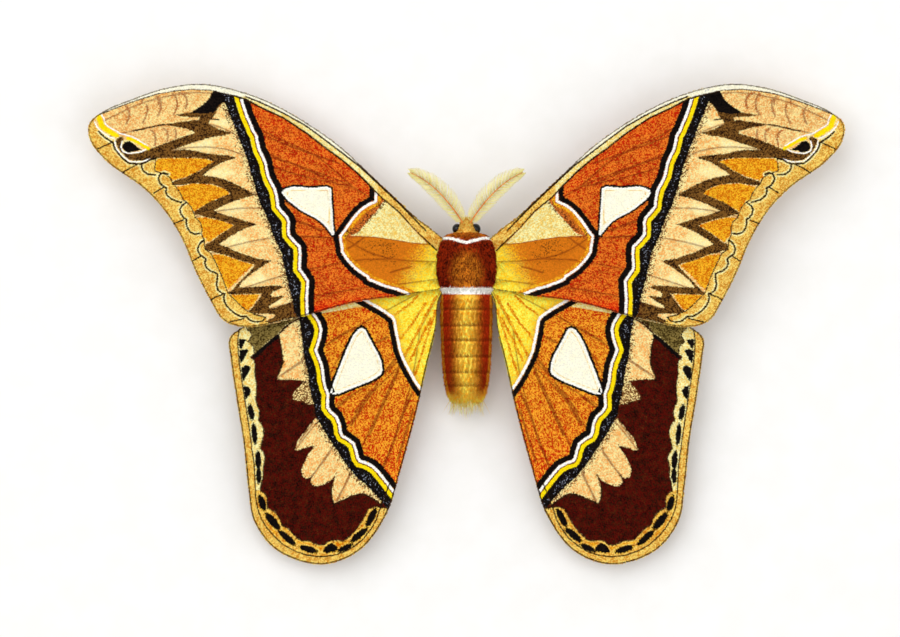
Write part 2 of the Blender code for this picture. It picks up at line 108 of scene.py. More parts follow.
class Ink(Enum):
    """The colours of the coat."""

    GOLD = Shade((255, 255, 96), (252, 200, 22), 1.5, 2.6)
    RUST = Shade((244, 134, 38), (146, 20, 3))
    SCARLET = Shade((244, 64, 10), (196, 26, 5), 0.25, 1.7, 0.85)
    AMBER = Shade((255, 180, 46), (184, 60, 2))
    FLESH = Shade((255, 240, 168), (238, 168, 84))
    MILK = Shade((255, 248, 192), (252, 226, 150), 0.6, 0.8)
    BLUSH = Shade((255, 234, 158), (226, 156, 78), 0.3, 0.3)
    EMBER = Shade((226, 122, 58), (176, 72, 28), 0.4, 1.5, 0.75)
    OCHRE = Shade((255, 196, 40), (206, 104, 2), 0.1, 0.2)
    BUTTER = Shade((255, 250, 184), (232, 194, 88), 0.08, 0.1)
    OLIVE = Shade((150, 128, 66), (56, 42, 12), 0.14, 0.3)
    EDGE = Shade((255, 224, 114), (206, 136, 36), 0.1, 0.1)
    VEIN = Shade((148, 56, 14), (104, 30, 6), 0.1, 0.05, 0.65)
    TAWNY = Shade((240, 146, 38), (104, 32, 8), 0.9, 2.0)
    RUSSET = Shade((184, 52, 14), (36, 6, 4), 0.3, 0.3)
    HONEY = Shade((255, 242, 98), (250, 172, 28), 1.2, 1.8)
    BROWN = Shade((136, 92, 38), (34, 16, 5), 0.08, 0.16)
    MAROON = Shade((88, 13, 4), (6, 1, 1), 0.1, 0.2)
    SPECK = Shade((140, 72, 26), (56, 22, 7), 0.12, 1.8, 0.85)
    CREAM = Shade((252, 249, 228), (246, 240, 210), 0.08, 0.08)
    BLACK = Shade((26, 18, 14), (4, 3, 4), 0.07, 0.2)
    YELLOW = Shade((255, 236, 14), (250, 210, 4), 0.07, 0.06)
    WHITE = Shade((255, 255, 252), (252, 250, 240), 0.06, 0.06)
    LINE = Shade((66, 38, 16), (26, 13, 6), 0.06, 0.02)
    FROST = Shade((226, 230, 240), (146, 152, 168), 0.1, 2.2, 0.8)


# Each coat's inks, from the lowest layer up.
WING_INKS = (Ink.GOLD, Ink.RUST, Ink.AMBER, Ink.SCARLET, Ink.FLESH, Ink.MILK, Ink.BLUSH, Ink.VEIN, Ink.EMBER,
             Ink.OCHRE, Ink.EDGE, Ink.BUTTER, Ink.OLIVE, Ink.BROWN, Ink.MAROON, Ink.SPECK, Ink.CREAM,
             Ink.BLACK, Ink.YELLOW, Ink.WHITE, Ink.LINE, Ink.FROST)
BODY_INKS = (Ink.RUSSET, Ink.TAWNY, Ink.AMBER, Ink.HONEY, Ink.BUTTER, Ink.EDGE, Ink.VEIN, Ink.WHITE)
BARE = "bare"  # how far inside the clear window a point lies
TINT = "tint"  # each scale's or tuft's own shade
TIP = "tip"  # how near to its tuft's tip a point lies
RELIEF = "relief"  # the wing's height
RIM = "rim"  # how far inside the wing's edge a point lies


def linear(colour: Sequence[float]) -> tuple[float, float, float, float]:
    """Turns an sRGB colour from 0 to 255 into the linear one that Blender takes."""
    shares = [c / 255 for c in colour]
    red, green, blue = (c / 12.92 if c <= 0.04045 else ((c + 0.055) / 1.055) ** 2.4 for c in shares)
    return red, green, blue, 1.0


def smooth_line(points: Sequence[Sequence[float]], step: float, closed: bool = False) -> Array:
    """Finds points about one step apart on a smooth curve through the given ones.

    Args:
        points: The points to pass through, of two or more coordinates each.
        step: The spacing wanted, in mm.
        closed: Whether the curve joins up with its start.

    Returns:
        The points, one row each. A closed curve's first point isn't repeated.
    """
    given = np.array(points, float)
    if closed:
        ring = np.vstack([given[-1], given, given[0], given[1]])
    else:
        ring = np.vstack([2 * given[0] - given[1], given, 2 * given[-1] - given[-2]])
    found = []
    for p0, p1, p2, p3 in zip(ring, ring[1:], ring[2:], ring[3:]):
        t0 = 0.0
        t1 = t0 + math.sqrt(np.linalg.norm(p1 - p0))
        t2 = t1 + math.sqrt(np.linalg.norm(p2 - p1))
        t3 = t2 + math.sqrt(np.linalg.norm(p3 - p2))
        pieces = max(1, round(np.linalg.norm(p2 - p1) / step))
        for t in np.linspace(t1, t2, pieces, endpoint=False):
            a1 = ((t1 - t) * p0 + (t - t0) * p1) / (t1 - t0)
            a2 = ((t2 - t) * p1 + (t - t1) * p2) / (t2 - t1)
            a3 = ((t3 - t) * p2 + (t - t2) * p3) / (t3 - t2)
            b1 = ((t2 - t) * a1 + (t - t0) * a2) / (t2 - t0)
            b2 = ((t3 - t) * a2 + (t - t1) * a3) / (t3 - t1)
            found.append(((t2 - t) * b1 + (t - t1) * b2) / (t2 - t1))
    if not closed:
        found.append(given[-1])
    return np.array(found)


def distance(line: Sequence[Sequence[float]], at: Array) -> Array:
    """Each point's distance from a line of straight runs, in mm, or from the line's box where that is far."""
    corners = np.array(line, float)
    outside = np.maximum(corners.min(0) - at, at - corners.max(0))
    found = np.linalg.norm(np.maximum(outside, 0), axis=1)
    close = found < EXACT
    near, x, y = np.full(close.sum(), np.inf), at[close, 0], at[close, 1]
    for (x0, y0), (x1, y1) in zip(corners, corners[1:]):
        run_x, run_y = x1 - x0, y1 - y0
        share = np.clip(((x - x0) * run_x + (y - y0) * run_y) / (run_x ** 2 + run_y ** 2), 0, 1)
        near = np.minimum(near, (x - x0 - share * run_x) ** 2 + (y - y0 - share * run_y) ** 2)
    found[close] = np.sqrt(near)
    return found


def inside(outline: Array, at: Array) -> Array:
    """Which points lie within a closed outline."""
    found = ((at > outline.min(0)) & (at < outline.max(0))).all(axis=1)
    x, y = at[found, 0], at[found, 1]
    within = np.zeros(len(x), bool)
    for (x0, y0), (x1, y1) in zip(outline, np.roll(outline, -1, axis=0)):
        if y0 != y1:
            within ^= ((y0 > y) != (y1 > y)) & (x < x0 + (y - y0) * (x1 - x0) / (y1 - y0))
    found[found] = within
    return found


def depth(outline: Sequence[Sequence[float]], at: Array) -> Array:
    """How far each point lies inside a closed outline, in mm, with minus signs outside it."""
    ring = np.array(outline, float)
    away = distance(np.vstack([ring, ring[:1]]), at)
    return np.where(inside(ring, at), away, -away)


def beyond(curve: Points, at: Array, far: float = 200.0) -> Array:
    """How far each point lies past an open curve that crosses a wing from front to back, in mm.

    Args:
        curve: The curve's points, from the wing's front edge to its hind edge.
        at: The points asked about.
        far: How far off the areas on its two sides are closed, in mm.

    Returns:
        Distances from the curve, above 0 on the side away from the body.
    """
    line = np.array(curve, float)
    first, last = line[0], line[-1]
    ends = np.vstack([first + (first - line[1]) * 3, line, last + (last - line[-2]) * 3])
    closing = [(ends[-1][0], -far), (far, -far), (far, far), (ends[0][0], far)]
    away = distance(ends, at)
    return np.where(inside(np.vstack([ends, closing]), at), away, -away)


def stroke(line: Points, width: float, at: Array) -> Array:
    """How deep each point lies in a painted line of one width, in mm."""
    return width / 2 - distance(line, at)


def strokes(lines: Sequence[Points], width: float, at: Array) -> Array:
    """How deep each point lies in any of several painted lines, in mm."""
    return np.max([stroke(line, width, at) for line in lines], axis=0)


def band(values: Array, low: float, high: float) -> Array:
    """How deep each value lies between two limits."""
    return np.minimum(values - low, high - values)


def any_of(*depths: Array | float) -> Array:
    """How deep each point lies in the one of several areas that it lies deepest in."""
    return reduce(np.maximum, depths)


def all_of(*depths: Array | float) -> Array:
    """How deep each point lies in all of several areas at once."""
    return reduce(np.minimum, depths)


def shapes(outlines: Sequence[Points], at: Array) -> Array:
    """How deep each point lies in any of several closed outlines, in mm."""
    return np.max([depth(outline, at) for outline in outlines], axis=0)


def between(pairs: Points, at: Array | float) -> Array:
    """Reads a measure at some places, given as pairs of a place and its value."""
    return np.interp(at, *zip(*pairs))


def spot(centre: Pair, half_width: float, half_length: float, lean: float,
         at: Array) -> Array:
    """How deep each point lies in an oval spot.

    Args:
        centre: The spot's middle, in mm.
        half_width: Half its short side, in mm.
        half_length: Half its long side, in mm.
        lean: The long side's turn from +Y, clockwise, in degrees.
        at: The points asked about.

    Returns:
        Depths in mm, with minus signs outside the spot.
    """
    turn = math.radians(lean)
    away = at - np.array(centre)
    across = away[:, 0] * math.cos(turn) - away[:, 1] * math.sin(turn)
    along = away[:, 0] * math.sin(turn) + away[:, 1] * math.cos(turn)
    return (1 - np.hypot(across / half_width, along / half_length)) * min(half_width, half_length)


def hand_of(side: int) -> str:
    """Gives the word for a side, which is 1 for the right and -1 for the left."""
    return "right" if side > 0 else "left"


def mesh_of(bm: bmesh.types.BMesh, name: str, side: int = 1) -> Mesh:
    """Turns a bmesh in mm into a mesh in metres, mirrored where the side is -1, and frees it."""
    if side < 0:
        bmesh.ops.scale(bm, vec=(-1, 1, 1), verts=bm.verts)
        bmesh.ops.reverse_faces(bm, faces=bm.faces)
    bmesh.ops.scale(bm, vec=(MM, MM, MM), verts=bm.verts)
    mesh = bpy.data.meshes.new(name)
    bm.to_mesh(mesh)
    bm.free()
    return mesh


def new_object(name: str, mesh: Mesh, material: Material,
               smooth: bool = True) -> Object:
    """Links a mesh to the scene under a name, with its material."""
    mesh.materials.append(material)
    if smooth:
        mesh.shade_smooth()
    else:
        mesh.shade_flat()
    obj = bpy.data.objects.new(name, mesh)
    bpy.context.scene.collection.objects.link(obj)
    return obj


def add_marks(mesh: Mesh, marks: Marks, uv: Array) -> None:
    """Stores one value for each vertex under each mark's name, and the bake's map.

    Args:
        mesh: The mesh to store them in.
        marks: The values for each name.
        uv: Each vertex's place on the map.
    """
    for name, values in marks.items():
        attribute = mesh.attributes.new(name, "FLOAT", "POINT")
        attribute.data.foreach_set("value", np.ascontiguousarray(values, np.float32))
    corners = np.zeros(len(mesh.loops), np.int32)
    mesh.loops.foreach_get("vertex_index", corners)
    layer = mesh.uv_layers.new(name=UV_NAME)
    layer.uv.foreach_set("vector", np.ascontiguousarray(uv[corners], np.float32).ravel())


def joined_mesh(name: str, verts: Array, faces: Array, marks: Marks, uv: Array) -> Mesh:
    """Makes one mesh of many small closed solids from arrays.

    Args:
        name: The mesh's name.
        verts: Places in mm, one row each.
        faces: Triangles, as three vertex numbers each.
        marks: One value for each vertex under each mark's name.
        uv: Each vertex's place on the bake's map.

    Returns:
        The mesh, in metres.
    """
    mesh = bpy.data.meshes.new(name)
    mesh.vertices.add(len(verts))
    mesh.vertices.foreach_set("co", np.ascontiguousarray(verts * MM, np.float32).ravel())
    mesh.loops.add(faces.size)
    mesh.loops.foreach_set("vertex_index", np.ascontiguousarray(faces, np.int32).ravel())
    mesh.polygons.add(len(faces))
    mesh.polygons.foreach_set("loop_start", np.arange(0, faces.size, 3, dtype=np.int32))
    mesh.update(calc_edges=True)
    add_marks(mesh, marks, uv)
    return mesh


def unit(vectors: Array) -> Array:
    """Scales each row to a length of one."""
    return vectors / np.maximum(np.linalg.norm(vectors, axis=-1, keepdims=True), 1e-9)


def wear(piece: Object, slot: str, *nodes: str) -> Object:
    """Fixes a finished piece to the body, hides the CAD parts that it stands for, and logs its face count."""
    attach(piece, BODY)
    if nodes:
        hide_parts(*nodes)
    LOG.info("%s: %d faces", piece.name, len(piece.data.polygons))
    return piece


class Tree:
    """Adds shader nodes to one tree and links them."""

    def __init__(self, tree: bpy.types.NodeTree) -> None:
        """Starts on an empty tree."""
        self.tree = tree
        tree.nodes.clear()

    def add(self, kind: str, inputs: dict[str | int, object] | None = None, **settings: object) -> Node:
        """Adds one node.

        Args:
            kind: The node's type, without the word ShaderNode.
            inputs: For each input, a socket to link or a value to set.
            settings: The node's own properties.

        Returns:
            The node.
        """
        node = self.tree.nodes.new(kind if kind.startswith("Node") else "ShaderNode" + kind)
        for name, value in settings.items():
            setattr(node, name, value)
        for key, value in (inputs or {}).items():
            if isinstance(value, Socket):
                self.tree.links.new(value, node.inputs[key])
            else:
                node.inputs[key].default_value = value
        return node

    def mix(self, share: object, first: object, second: object, blend: str = "MIX") -> Socket:
        """Mixes two colours and gives back the outcome's socket."""
        node = self.add("Mix", {0: share, 6: first, 7: second}, data_type="RGBA", blend_type=blend)
        return node.outputs[2]

    def math(self, operation: str, first: object, second: object = 0.0) -> Socket:
        """Works out one sum and gives back its socket."""
        return self.add("Math", {0: first, 1: second}, operation=operation).outputs[0]

    def ramp(self, value: object, low: object, high: object, start: object = 0.0,
             end: object = 1.0) -> Socket:
        """Maps a value smoothly from one range to another, held at the ends."""
        node = self.add("MapRange", {0: value, 1: low, 2: high, 3: start, 4: end},
                        interpolation_type="SMOOTHSTEP")
        return node.outputs[0]

    def mark(self, name: str) -> Socket:
        """Reads a mark that is stored on the mesh."""
        return self.add("Attribute", attribute_name=name).outputs["Fac"]


def new_material(name: str) -> tuple[Material, Tree, Socket]:
    """Starts a material, and gives back its shader tree and the place on the object."""
    material = bpy.data.materials.new(name)
    material.use_nodes = True
    tree = Tree(material.node_tree)
    return material, tree, tree.add("TexCoord").outputs["Object"]


def new_group(name: str, inputs: dict[str, str],
              outputs: dict[str, str]) -> tuple[Tree, Node, Node]:
    """Starts a shader node group.

    Args:
        name: The group's name.
        inputs: The type of each input socket, by its name.
        outputs: The same for the output sockets.

    Returns:
        Its tree, and the nodes that hold its inputs and outputs.
    """
    group = bpy.data.node_groups.new(name, "ShaderNodeTree")
    for direction, sockets in (("INPUT", inputs), ("OUTPUT", outputs)):
        for socket, kind in sockets.items():
            group.interface.new_socket(socket, in_out=direction, socket_type="NodeSocket" + kind)
    tree = Tree(group)
    return tree, tree.add("NodeGroupInput"), tree.add("NodeGroupOutput")


def ink_group() -> bpy.types.NodeTree:
    """Builds the group that lays one ink over what is below it, with a ragged edge."""
    name = "Ink"
    if name in bpy.data.node_groups:
        return bpy.data.node_groups[name]
    tree, into, out = new_group(
        name,
        {"Under": "Color", "Light": "Color", "Dark": "Color", "Mottle": "Float", "Grain": "Float",
         "Depth": "Float", "Soft": "Float", "Ragged": "Float", "Strength": "Float"},
        {"Colour": "Color"},
    )
    get = into.outputs
    shift = tree.math("MULTIPLY", tree.math("SUBTRACT", get["Grain"], 0.5), get["Ragged"])
    level = tree.math("ADD", get["Depth"], shift)
    minus = tree.math("MULTIPLY", get["Soft"], -1.0)
    share = tree.ramp(level, minus, get["Soft"], 0.0, get["Strength"])
    colour = tree.mix(get["Mottle"], get["Light"], get["Dark"])
    tree.tree.links.new(tree.mix(share, get["Under"], colour), out.inputs["Colour"])
    return tree.tree


@dataclass(frozen=True)
class CoatFinish:
    """Scales or hair, painted in layers of ink where the mesh's marks say.

    Args:
        name: The material's name.
        base: The colour below every ink, in sRGB from 0 to 255.
        inks: The inks in use, from the lowest up.
        roughness: How rough it is.
        grain: The grain's size, in mm.
        mottle: The size of its patches of lighter and darker colour, in mm.
        dull: How much of the dull underside's tan covers the colours.
        hairy: Whether the mesh marks how near to its tip each point is, which paints shade near the tufts'
            roots and light at their tips.
        bump: How strongly the grain lifts the surface.
    """

    name: str
    base: Colour
    inks: tuple[Ink, ...]
    roughness: float = 0.8
    grain: float = 0.3
    mottle: float = 1.3
    dull: float = 0.0
    hairy: bool = False
    bump: float = 0.25
    TAN = (206, 160, 112)
    GLOSS = 0.04
    BARE_ROUGHNESS = 0.28

    def noise(self, tree: Tree, place: object, size: float, detail: float = 2.0) -> Socket:
        """Adds one noise of a size in mm, with its outcome spread over about 0 to 1."""
        node = tree.add("TexNoise", {"Vector": place, "Scale": 1 / (size * MM), "Detail": detail,
                                     "Roughness": 0.6})
        return tree.ramp(node.outputs[0], 0.3, 0.7)

    def build(self) -> Material:
        """Makes the material."""
        material, tree, place = new_material(self.name)
        tint = tree.mark(TINT)
        fine = self.noise(tree, place, self.grain)
        mottle = self.noise(tree, place, self.mottle, 3.0)
        grain = tree.mix(0.7, fine, tint)
        blend = tree.ramp(tree.mix(0.2, tree.mix(0.55, fine, tint), mottle), 0.29, 0.71)
        colour: object = linear(self.base)
        for ink in self.inks:
            shade = ink.value
            colour = tree.add("Group", {
                "Under": colour, "Light": linear(shade.light), "Dark": linear(shade.dark), "Mottle": blend,
                "Grain": grain, "Depth": tree.mark(ink.name), "Soft": shade.soft, "Ragged": shade.ragged,
                "Strength": shade.strength}, node_tree=ink_group()).outputs[0]
        if self.dull:
            colour = tree.mix(self.dull, colour, linear(self.TAN))
        bright = tree.ramp(fine, 0.0, 1.0, 0.86, 1.12)
        # Painted shade and light: hair is darker near its roots, where the tufts lie under one another, and
        # lighter at its tips.
        if self.hairy:
            bright = tree.math("MULTIPLY", bright, tree.ramp(tree.mark(TIP), 0.0, 0.8, 0.8, 1.3))
        grey = tree.add("CombineColor", {0: bright, 1: bright, 2: bright}).outputs[0]
        colour = tree.mix(1.0, colour, grey, "MULTIPLY")
        rough = tree.ramp(tree.mark(BARE), -0.1, 0.3, self.roughness, self.BARE_ROUGHNESS)
        shader = tree.add("BsdfPrincipled", {"Base Color": colour, "Roughness": rough,
                                             "Specular IOR Level": self.GLOSS})
        if self.bump:
            bump = tree.add("Bump", {"Height": fine, "Strength": self.bump, "Distance": BUMP_HEIGHT * MM})
            tree.tree.links.new(bump.outputs[0], shader.inputs["Normal"])
        tree.add("OutputMaterial", {0: shader.outputs[0]})
        return material


@dataclass(frozen=True)
class PlainFinish:
    """A surface of two mottled colours, such as an antenna's shaft, a claw, an eye or paper.

    Args:
        name: The material's name.
        light: The lighter colour, in sRGB from 0 to 255.
        dark: The darker one.
        size: The size of the mottling, in mm.
        roughness: The roughness on the light and on the dark parts.
        bump: How strongly the pattern lifts the surface.
        cells: Whether the pattern is of close cells, as on an insect's eye, instead of noise.
        gloss: How strongly it reflects.
    """

    name: str
    light: Colour
    dark: Colour
    size: float
    roughness: Pair
    bump: float = 0.3
    cells: bool = False
    gloss: float = 0.5

    def build(self) -> Material:
        """Makes the material."""
        material, tree, place = new_material(self.name)
        if self.cells:
            node = tree.add("TexVoronoi", {"Vector": place, "Scale": 1 / (self.size * MM)})
            share = tree.ramp(node.outputs["Distance"], 0.25, 0.65)
        else:
            node = tree.add("TexNoise", {"Vector": place, "Scale": 1 / (self.size * MM), "Detail": 4.0})
            share = tree.ramp(node.outputs[0], 0.3, 0.7)
        colour = tree.mix(share, linear(self.light), linear(self.dark))
        rough = tree.ramp(share, 0.0, 1.0, *self.roughness)
        height = tree.math("SUBTRACT", 1.0, share)
        bump = tree.add("Bump", {"Height": height, "Strength": self.bump, "Distance": BUMP_HEIGHT * MM})
        shader = tree.add("BsdfPrincipled", {"Base Color": colour, "Roughness": rough,
                                             "Specular IOR Level": self.gloss, "Normal": bump.outputs[0]})
        tree.add("OutputMaterial", {0: shader.outputs[0]})
        return material


@dataclass
class MarkMap:
    """Values over a flat area, worked out on a square grid and read between its points.

    Args:
        low: The grid's lowest corner, in mm.
        step: Its spacing, in mm.
        layers: The grid of each mark, with a row for each step in Y.
    """

    low: Array
    step: float
    layers: Marks

    @classmethod
    def over(cls, outline: Array, step: float, work: Callable[[Array], Marks]) -> MarkMap:
        """Works the marks out over an outline's box.

        Args:
            outline: The outline to cover, in mm.
            step: The grid's spacing, in mm.
            work: Gives each mark's values at the points it is given.

        Returns:
            The map.
        """
        low = outline.min(0) - 3 * step
        count = np.ceil((outline.max(0) + 3 * step - low) / step).astype(int) + 1
        xs, ys = (low[i] + step * np.arange(count[i]) for i in (0, 1))
        at = np.stack(np.meshgrid(xs, ys), axis=-1).reshape(-1, 2)
        return cls(low, step, {name: values.reshape(count[1], count[0]) for name, values in work(at).items()})

    def at(self, points: Array, *names: str) -> Marks:
        """Reads the named marks at some points, or those that are painted where none is named."""
        size = next(iter(self.layers.values())).shape
        place = (points - self.low) / self.step
        x = np.clip(place[:, 0], 0, size[1] - 1.001)
        y = np.clip(place[:, 1], 0, size[0] - 1.001)
        i, j = x.astype(int), y.astype(int)
        s, t = x - i, y - j
        found = {}
        for name in sorted(names or set(self.layers) - {RELIEF, RIM}):
            g = self.layers[name]
            near = g[j, i] * (1 - s) + g[j, i + 1] * s
            far = g[j + 1, i] * (1 - s) + g[j + 1, i + 1] * s
            found[name] = near * (1 - t) + far * t
        return found


@dataclass
class Wing:
    """One pair of wings: a thin veined membrane, painted scales on both faces, and a fringe.

    Args:
        name: The pair's name, which its CAD nodes start with.
        root: The middle of its root, which the scales point away from, in mm.
        outline: The right wing's edge, in mm.
        veins: The lines of its veins, from the root outwards, in mm.
        height: Gives the height of the membrane's middle at points, in mm.
        paint: Gives how deep points lie in each ink, in mm.
        bare: The outline of its clear window.
        membrane: The membrane's thickness, in mm.
        vein_height: How far a vein stands up near the root and at the edge, in mm.
        vein_width: Its half width there, in mm.
        pleat: How far the membrane sags between the veins, and how far from them, in mm.
        vein_line: Half the width of the dark line along each vein, in mm.
        window_rim: How far inside the window's outline the scales end, in mm.
        scale_length: A scale's length, in mm.
        scale_width: Its width, in mm.
        rows: How far apart the scales' roots are along and across, in mm.
        coarser: How many times bigger and further apart the lower face's scales are.
        fringe_start: How far from the root the fringe starts, in mm.
        grid: The spacing at which the marks are worked out, in mm.
        hairs: How many long hairs grow at its root.
        hair_start: The place along X from which they grow, in mm.
        hair_box: How far along X they may grow, and how far off their line, in mm.
        hair_line: The line that they are thickest on, in mm.
    """

    name: str
    root: Pair
    outline: Points
    veins: Sequence[Points]
    height: Callable[[Array], Array]
    paint: Callable[[Array, Array], dict[Ink, Array]]
    bare: Points
    membrane: float = 0.26
    vein_height: Pair = (0.26, 0.12)
    vein_width: Pair = (0.55, 0.32)
    pleat: Pair = (0.22, 2.6)
    vein_line: float = 0.13
    window_rim: float = 0.45
    scale_length: float = 0.45
    scale_width: float = 0.28
    rows: Pair = (0.2, 0.175)
    coarser: float = 1.9
    fringe_start: float = 9
    grid: float = 0.12
    hairs: int = 2600
    hair_start: float = 4.9
    hair_box: Pair = (14, 4)
    hair_line: Points = ((4, 8), (4, 14))

    def __post_init__(self) -> None:
        """Works out the edge and every mark over the wing."""
        self.edge = smooth_line(self.outline, 0.9, closed=True)
        self.vein_lines = [smooth_line(vein, 1.5) for vein in self.veins]
        self.marks = MarkMap.over(self.edge, self.grid, self.work)

    def work(self, at: Array) -> Marks:
        """Gives the relief and the depth of each ink at some points."""
        raised, clear = np.zeros(len(at)), np.full(len(at), np.inf)
        reach = np.hypot(*(at - np.array(self.root)).T)
        share = np.clip(reach / reach.max(), 0, 1)
        half_width = np.interp(share, (0, 1), self.vein_width)
        tall = np.interp(share, (0, 1), self.vein_height)
        for line in self.vein_lines:
            away = distance(line, at)
            fade = np.clip(np.hypot(*(at - line[-1]).T) / 3, 0.2, 1)
            raised = np.maximum(raised, tall * fade * np.clip(1 - (away / half_width) ** 2, 0, 1))
            clear = np.minimum(clear, away)
        deep, across = self.pleat
        sag = deep * (1 - np.exp(-(clear / across) ** 2))
        marks = {ink.name: np.full(len(at), ABSENT) for ink in WING_INKS}
        within = depth(self.edge, at)
        for ink, values in self.paint(at, within).items():
            marks[ink.name] = np.clip(values, ABSENT, -ABSENT)
        marks[Ink.VEIN.name] = np.maximum(marks[Ink.VEIN.name], self.vein_line - clear)
        marks[BARE] = np.clip(depth(self.bare, at) - self.window_rim, ABSENT, -ABSENT)
        marks[RELIEF] = self.height(at) - sag + raised
        marks[RIM] = within
        return marks

    def skin(self, side: int, material: Material, step: float = 1.1, cuts: int = 2) -> Object:
        """Makes one wing's membrane, closed all round.

        Args:
            side: 1 for the right wing and -1 for the left one.
            material: Its finish.
            step: The spacing of the first cuts across the wing, in mm.
            cuts: How many cuts then split each edge.

        Returns:
            The membrane.
        """
        bm = bmesh.new()
        bm.faces.new([bm.verts.new((x, y, 0)) for x, y in self.edge])
        for axis in (0, 1):
            normal = (1 - axis, axis, 0)
            for cut in np.arange(self.edge[:, axis].min() + step / 2, self.edge[:, axis].max(), step):
                bmesh.ops.bisect_plane(bm, geom=bm.verts[:] + bm.edges[:] + bm.faces[:], dist=1e-5,
                                       plane_co=Vector(normal) * cut, plane_no=normal)
        bmesh.ops.triangulate(bm, faces=bm.faces)
        bmesh.ops.subdivide_edges(bm, edges=bm.edges, cuts=cuts, use_grid_fill=True)
        sheet = bm.verts[:] + bm.edges[:] + bm.faces[:]
        made = bmesh.ops.extrude_face_region(bm, geom=sheet, use_keep_orig=True)
        lower = {element for element in made["geom"] if isinstance(element, bmesh.types.BMVert)}
        bm.verts.index_update()
        flat = np.array([v.co[:2] for v in bm.verts])
        marks = self.marks.at(flat)
        below = np.array([v in lower for v in bm.verts])
        middle = self.marks.at(flat, RELIEF)[RELIEF]
        z = np.where(below, middle - self.membrane, middle)
        for vert, level in zip(bm.verts, z):
            vert.co.z = level
        bmesh.ops.triangulate(bm, faces=[f for f in bm.faces if len(f.verts) > 3])
        bmesh.ops.recalc_face_normals(bm, faces=bm.faces)
        mesh = mesh_of(bm, self.name, side)
        marks[TINT] = np.full(len(flat), 0.5)
        add_marks(mesh, marks, self.map_place(flat, below))
        obj = new_object(f"{self.name}_skin_{hand_of(side)}", mesh, material)
        return wear(obj, "wing", f"{self.name}_{hand_of(side)}")

    def map_place(self, flat: Array, below: Array | bool) -> Array:
        """Lays the wing's upper face in the map's left half and its lower face in the right half."""
        low, high = self.edge.min(0), self.edge.max(0)
        place = (flat - low) / (high - low) * (0.47, 0.96) + (0.015, 0.02)
        place[:, 0] += np.where(below, 0.5, 0.0)
        return place

    def scale_roots(self, rng: Rng, spread: float) -> tuple[Array, Array]:
        """Sets scales over the wing in staggered rows.

        Args:
            rng: The source of the small shifts.
            spread: How many times further apart than the upper face's rows they are.

        Returns:
            Each scale's root, and the way it points.
        """
        along, across = (gap * spread for gap in self.rows)
        low, high = self.edge.min(0), self.edge.max(0)
        row, rows = np.arange(low[0], high[0], across), np.arange(low[1], high[1], along)
        x, y = np.meshgrid(row, rows)
        x[1::2] += across / 2
        roots = np.column_stack([x.ravel(), y.ravel()])
        roots += rng.normal(0, 0.16 * across, roots.shape)
        way = unit(unit(roots - np.array(self.root)) + rng.normal(0, 0.16, roots.shape))
        tips = roots + 0.9 * self.scale_length * spread * way
        keep = (self.marks.at(roots, RIM)[RIM] > 0.05) & (self.marks.at(tips, RIM)[RIM] > -0.16)
        keep &= self.marks.at(roots, BARE)[BARE] < rng.uniform(-0.15, 0.1, len(roots))
        return roots[keep], way[keep]

    def fringe_roots(self, rng: Rng, gap: float = 0.14) -> tuple[Array, Array]:
        """Sets scales round the wing's free edge, pointing out of it.

        Args:
            rng: The source of the small shifts.
            gap: How far apart their roots are, in mm.

        Returns:
            Each scale's root, and the way it points.
        """
        edge = smooth_line(self.outline, gap, closed=True)
        run = unit(np.roll(edge, -1, axis=0) - edge)
        out = np.stack([-run[:, 1], run[:, 0]], axis=-1)
        if depth(self.edge, edge[:1] + out[:1] * 0.3)[0] > 0:
            out = -out
        free = np.hypot(*(edge - np.array(self.root)).T) > self.fringe_start
        edge, out = edge[free], out[free]
        reach = np.clip(1.5 - 2 * out[:, 1:], 0, 1)
        way = unit(reach * out + 0.45 * unit(edge - np.array(self.root)) + rng.normal(0, 0.12, out.shape))
        return edge - out * 0.22 + rng.normal(0, 0.03, out.shape), way

    def scales(self, side: int, lower: bool, material: Material, seed: int) -> Object:
        """Covers one face of one wing with thin kite-shaped scales.

        Args:
            side: 1 for the right wing and -1 for the left one.
            lower: Whether it is the lower face.
            material: Their finish.
            seed: The seed of their small differences.

        Returns:
            All of them, as one mesh.
        """
        rng = np.random.default_rng(seed)
        spread = self.coarser if lower else 1
        field, way = self.scale_roots(rng, spread)
        rim, out = self.fringe_roots(rng)
        roots, way = np.vstack([field, rim]), np.vstack([way, out])
        count = len(roots)
        grown = np.where(np.arange(count) < len(field), spread, 1)[:, None]
        grown = grown * rng.uniform(0.8, 1.15, (count, 2))
        length, half = self.scale_length * grown[:, :1], self.scale_width * grown[:, 1:] / 2
        across = np.stack([way[:, 1], -way[:, 0]], axis=-1)
        flat = np.stack([roots, roots + 0.5 * length * way + half * across, roots + length * way,
                         roots + 0.5 * length * way - half * across], axis=1)
        lift = np.array([-0.04, 0.03, 0.045, 0.03]) + rng.uniform(0, 0.025, (count, 1)) * (0, 1, 1.4, 1)
        middle = flat.mean(axis=1, keepdims=True)
        marks = self.marks.at((middle + 0.3 * (flat - middle)).reshape(-1, 2))
        level = self.marks.at(flat.reshape(-1, 2), RELIEF)[RELIEF].reshape(count, 4)
        z = level - self.membrane - lift if lower else level + lift
        corners = np.dstack([flat, z]) * (side, 1, 1)
        kite = np.array([(0, 1, 3), (1, 2, 3), (0, 3, 2), (0, 2, 1)])
        faces = kite[None] + 4 * np.arange(count)[:, None, None]
        a, b, c = (corners[:, i] - corners[:, 0] for i in (1, 2, 3))
        turned = np.einsum("ij,ij->i", a, np.cross(b, c)) > 0
        faces[turned] = faces[turned][:, :, ::-1]
        verts, faces = corners.reshape(-1, 3), faces.reshape(-1, 3)
        marks[TINT] = np.repeat(rng.uniform(0, 1, count), 4)
        uv = self.map_place(flat.reshape(-1, 2), lower)
        name = f"{self.name}_scales_{'lower' if lower else 'upper'}_{hand_of(side)}"
        mesh = joined_mesh(name, verts, faces, marks, uv)
        return wear(new_object(name, mesh, material, smooth=False), "wing")

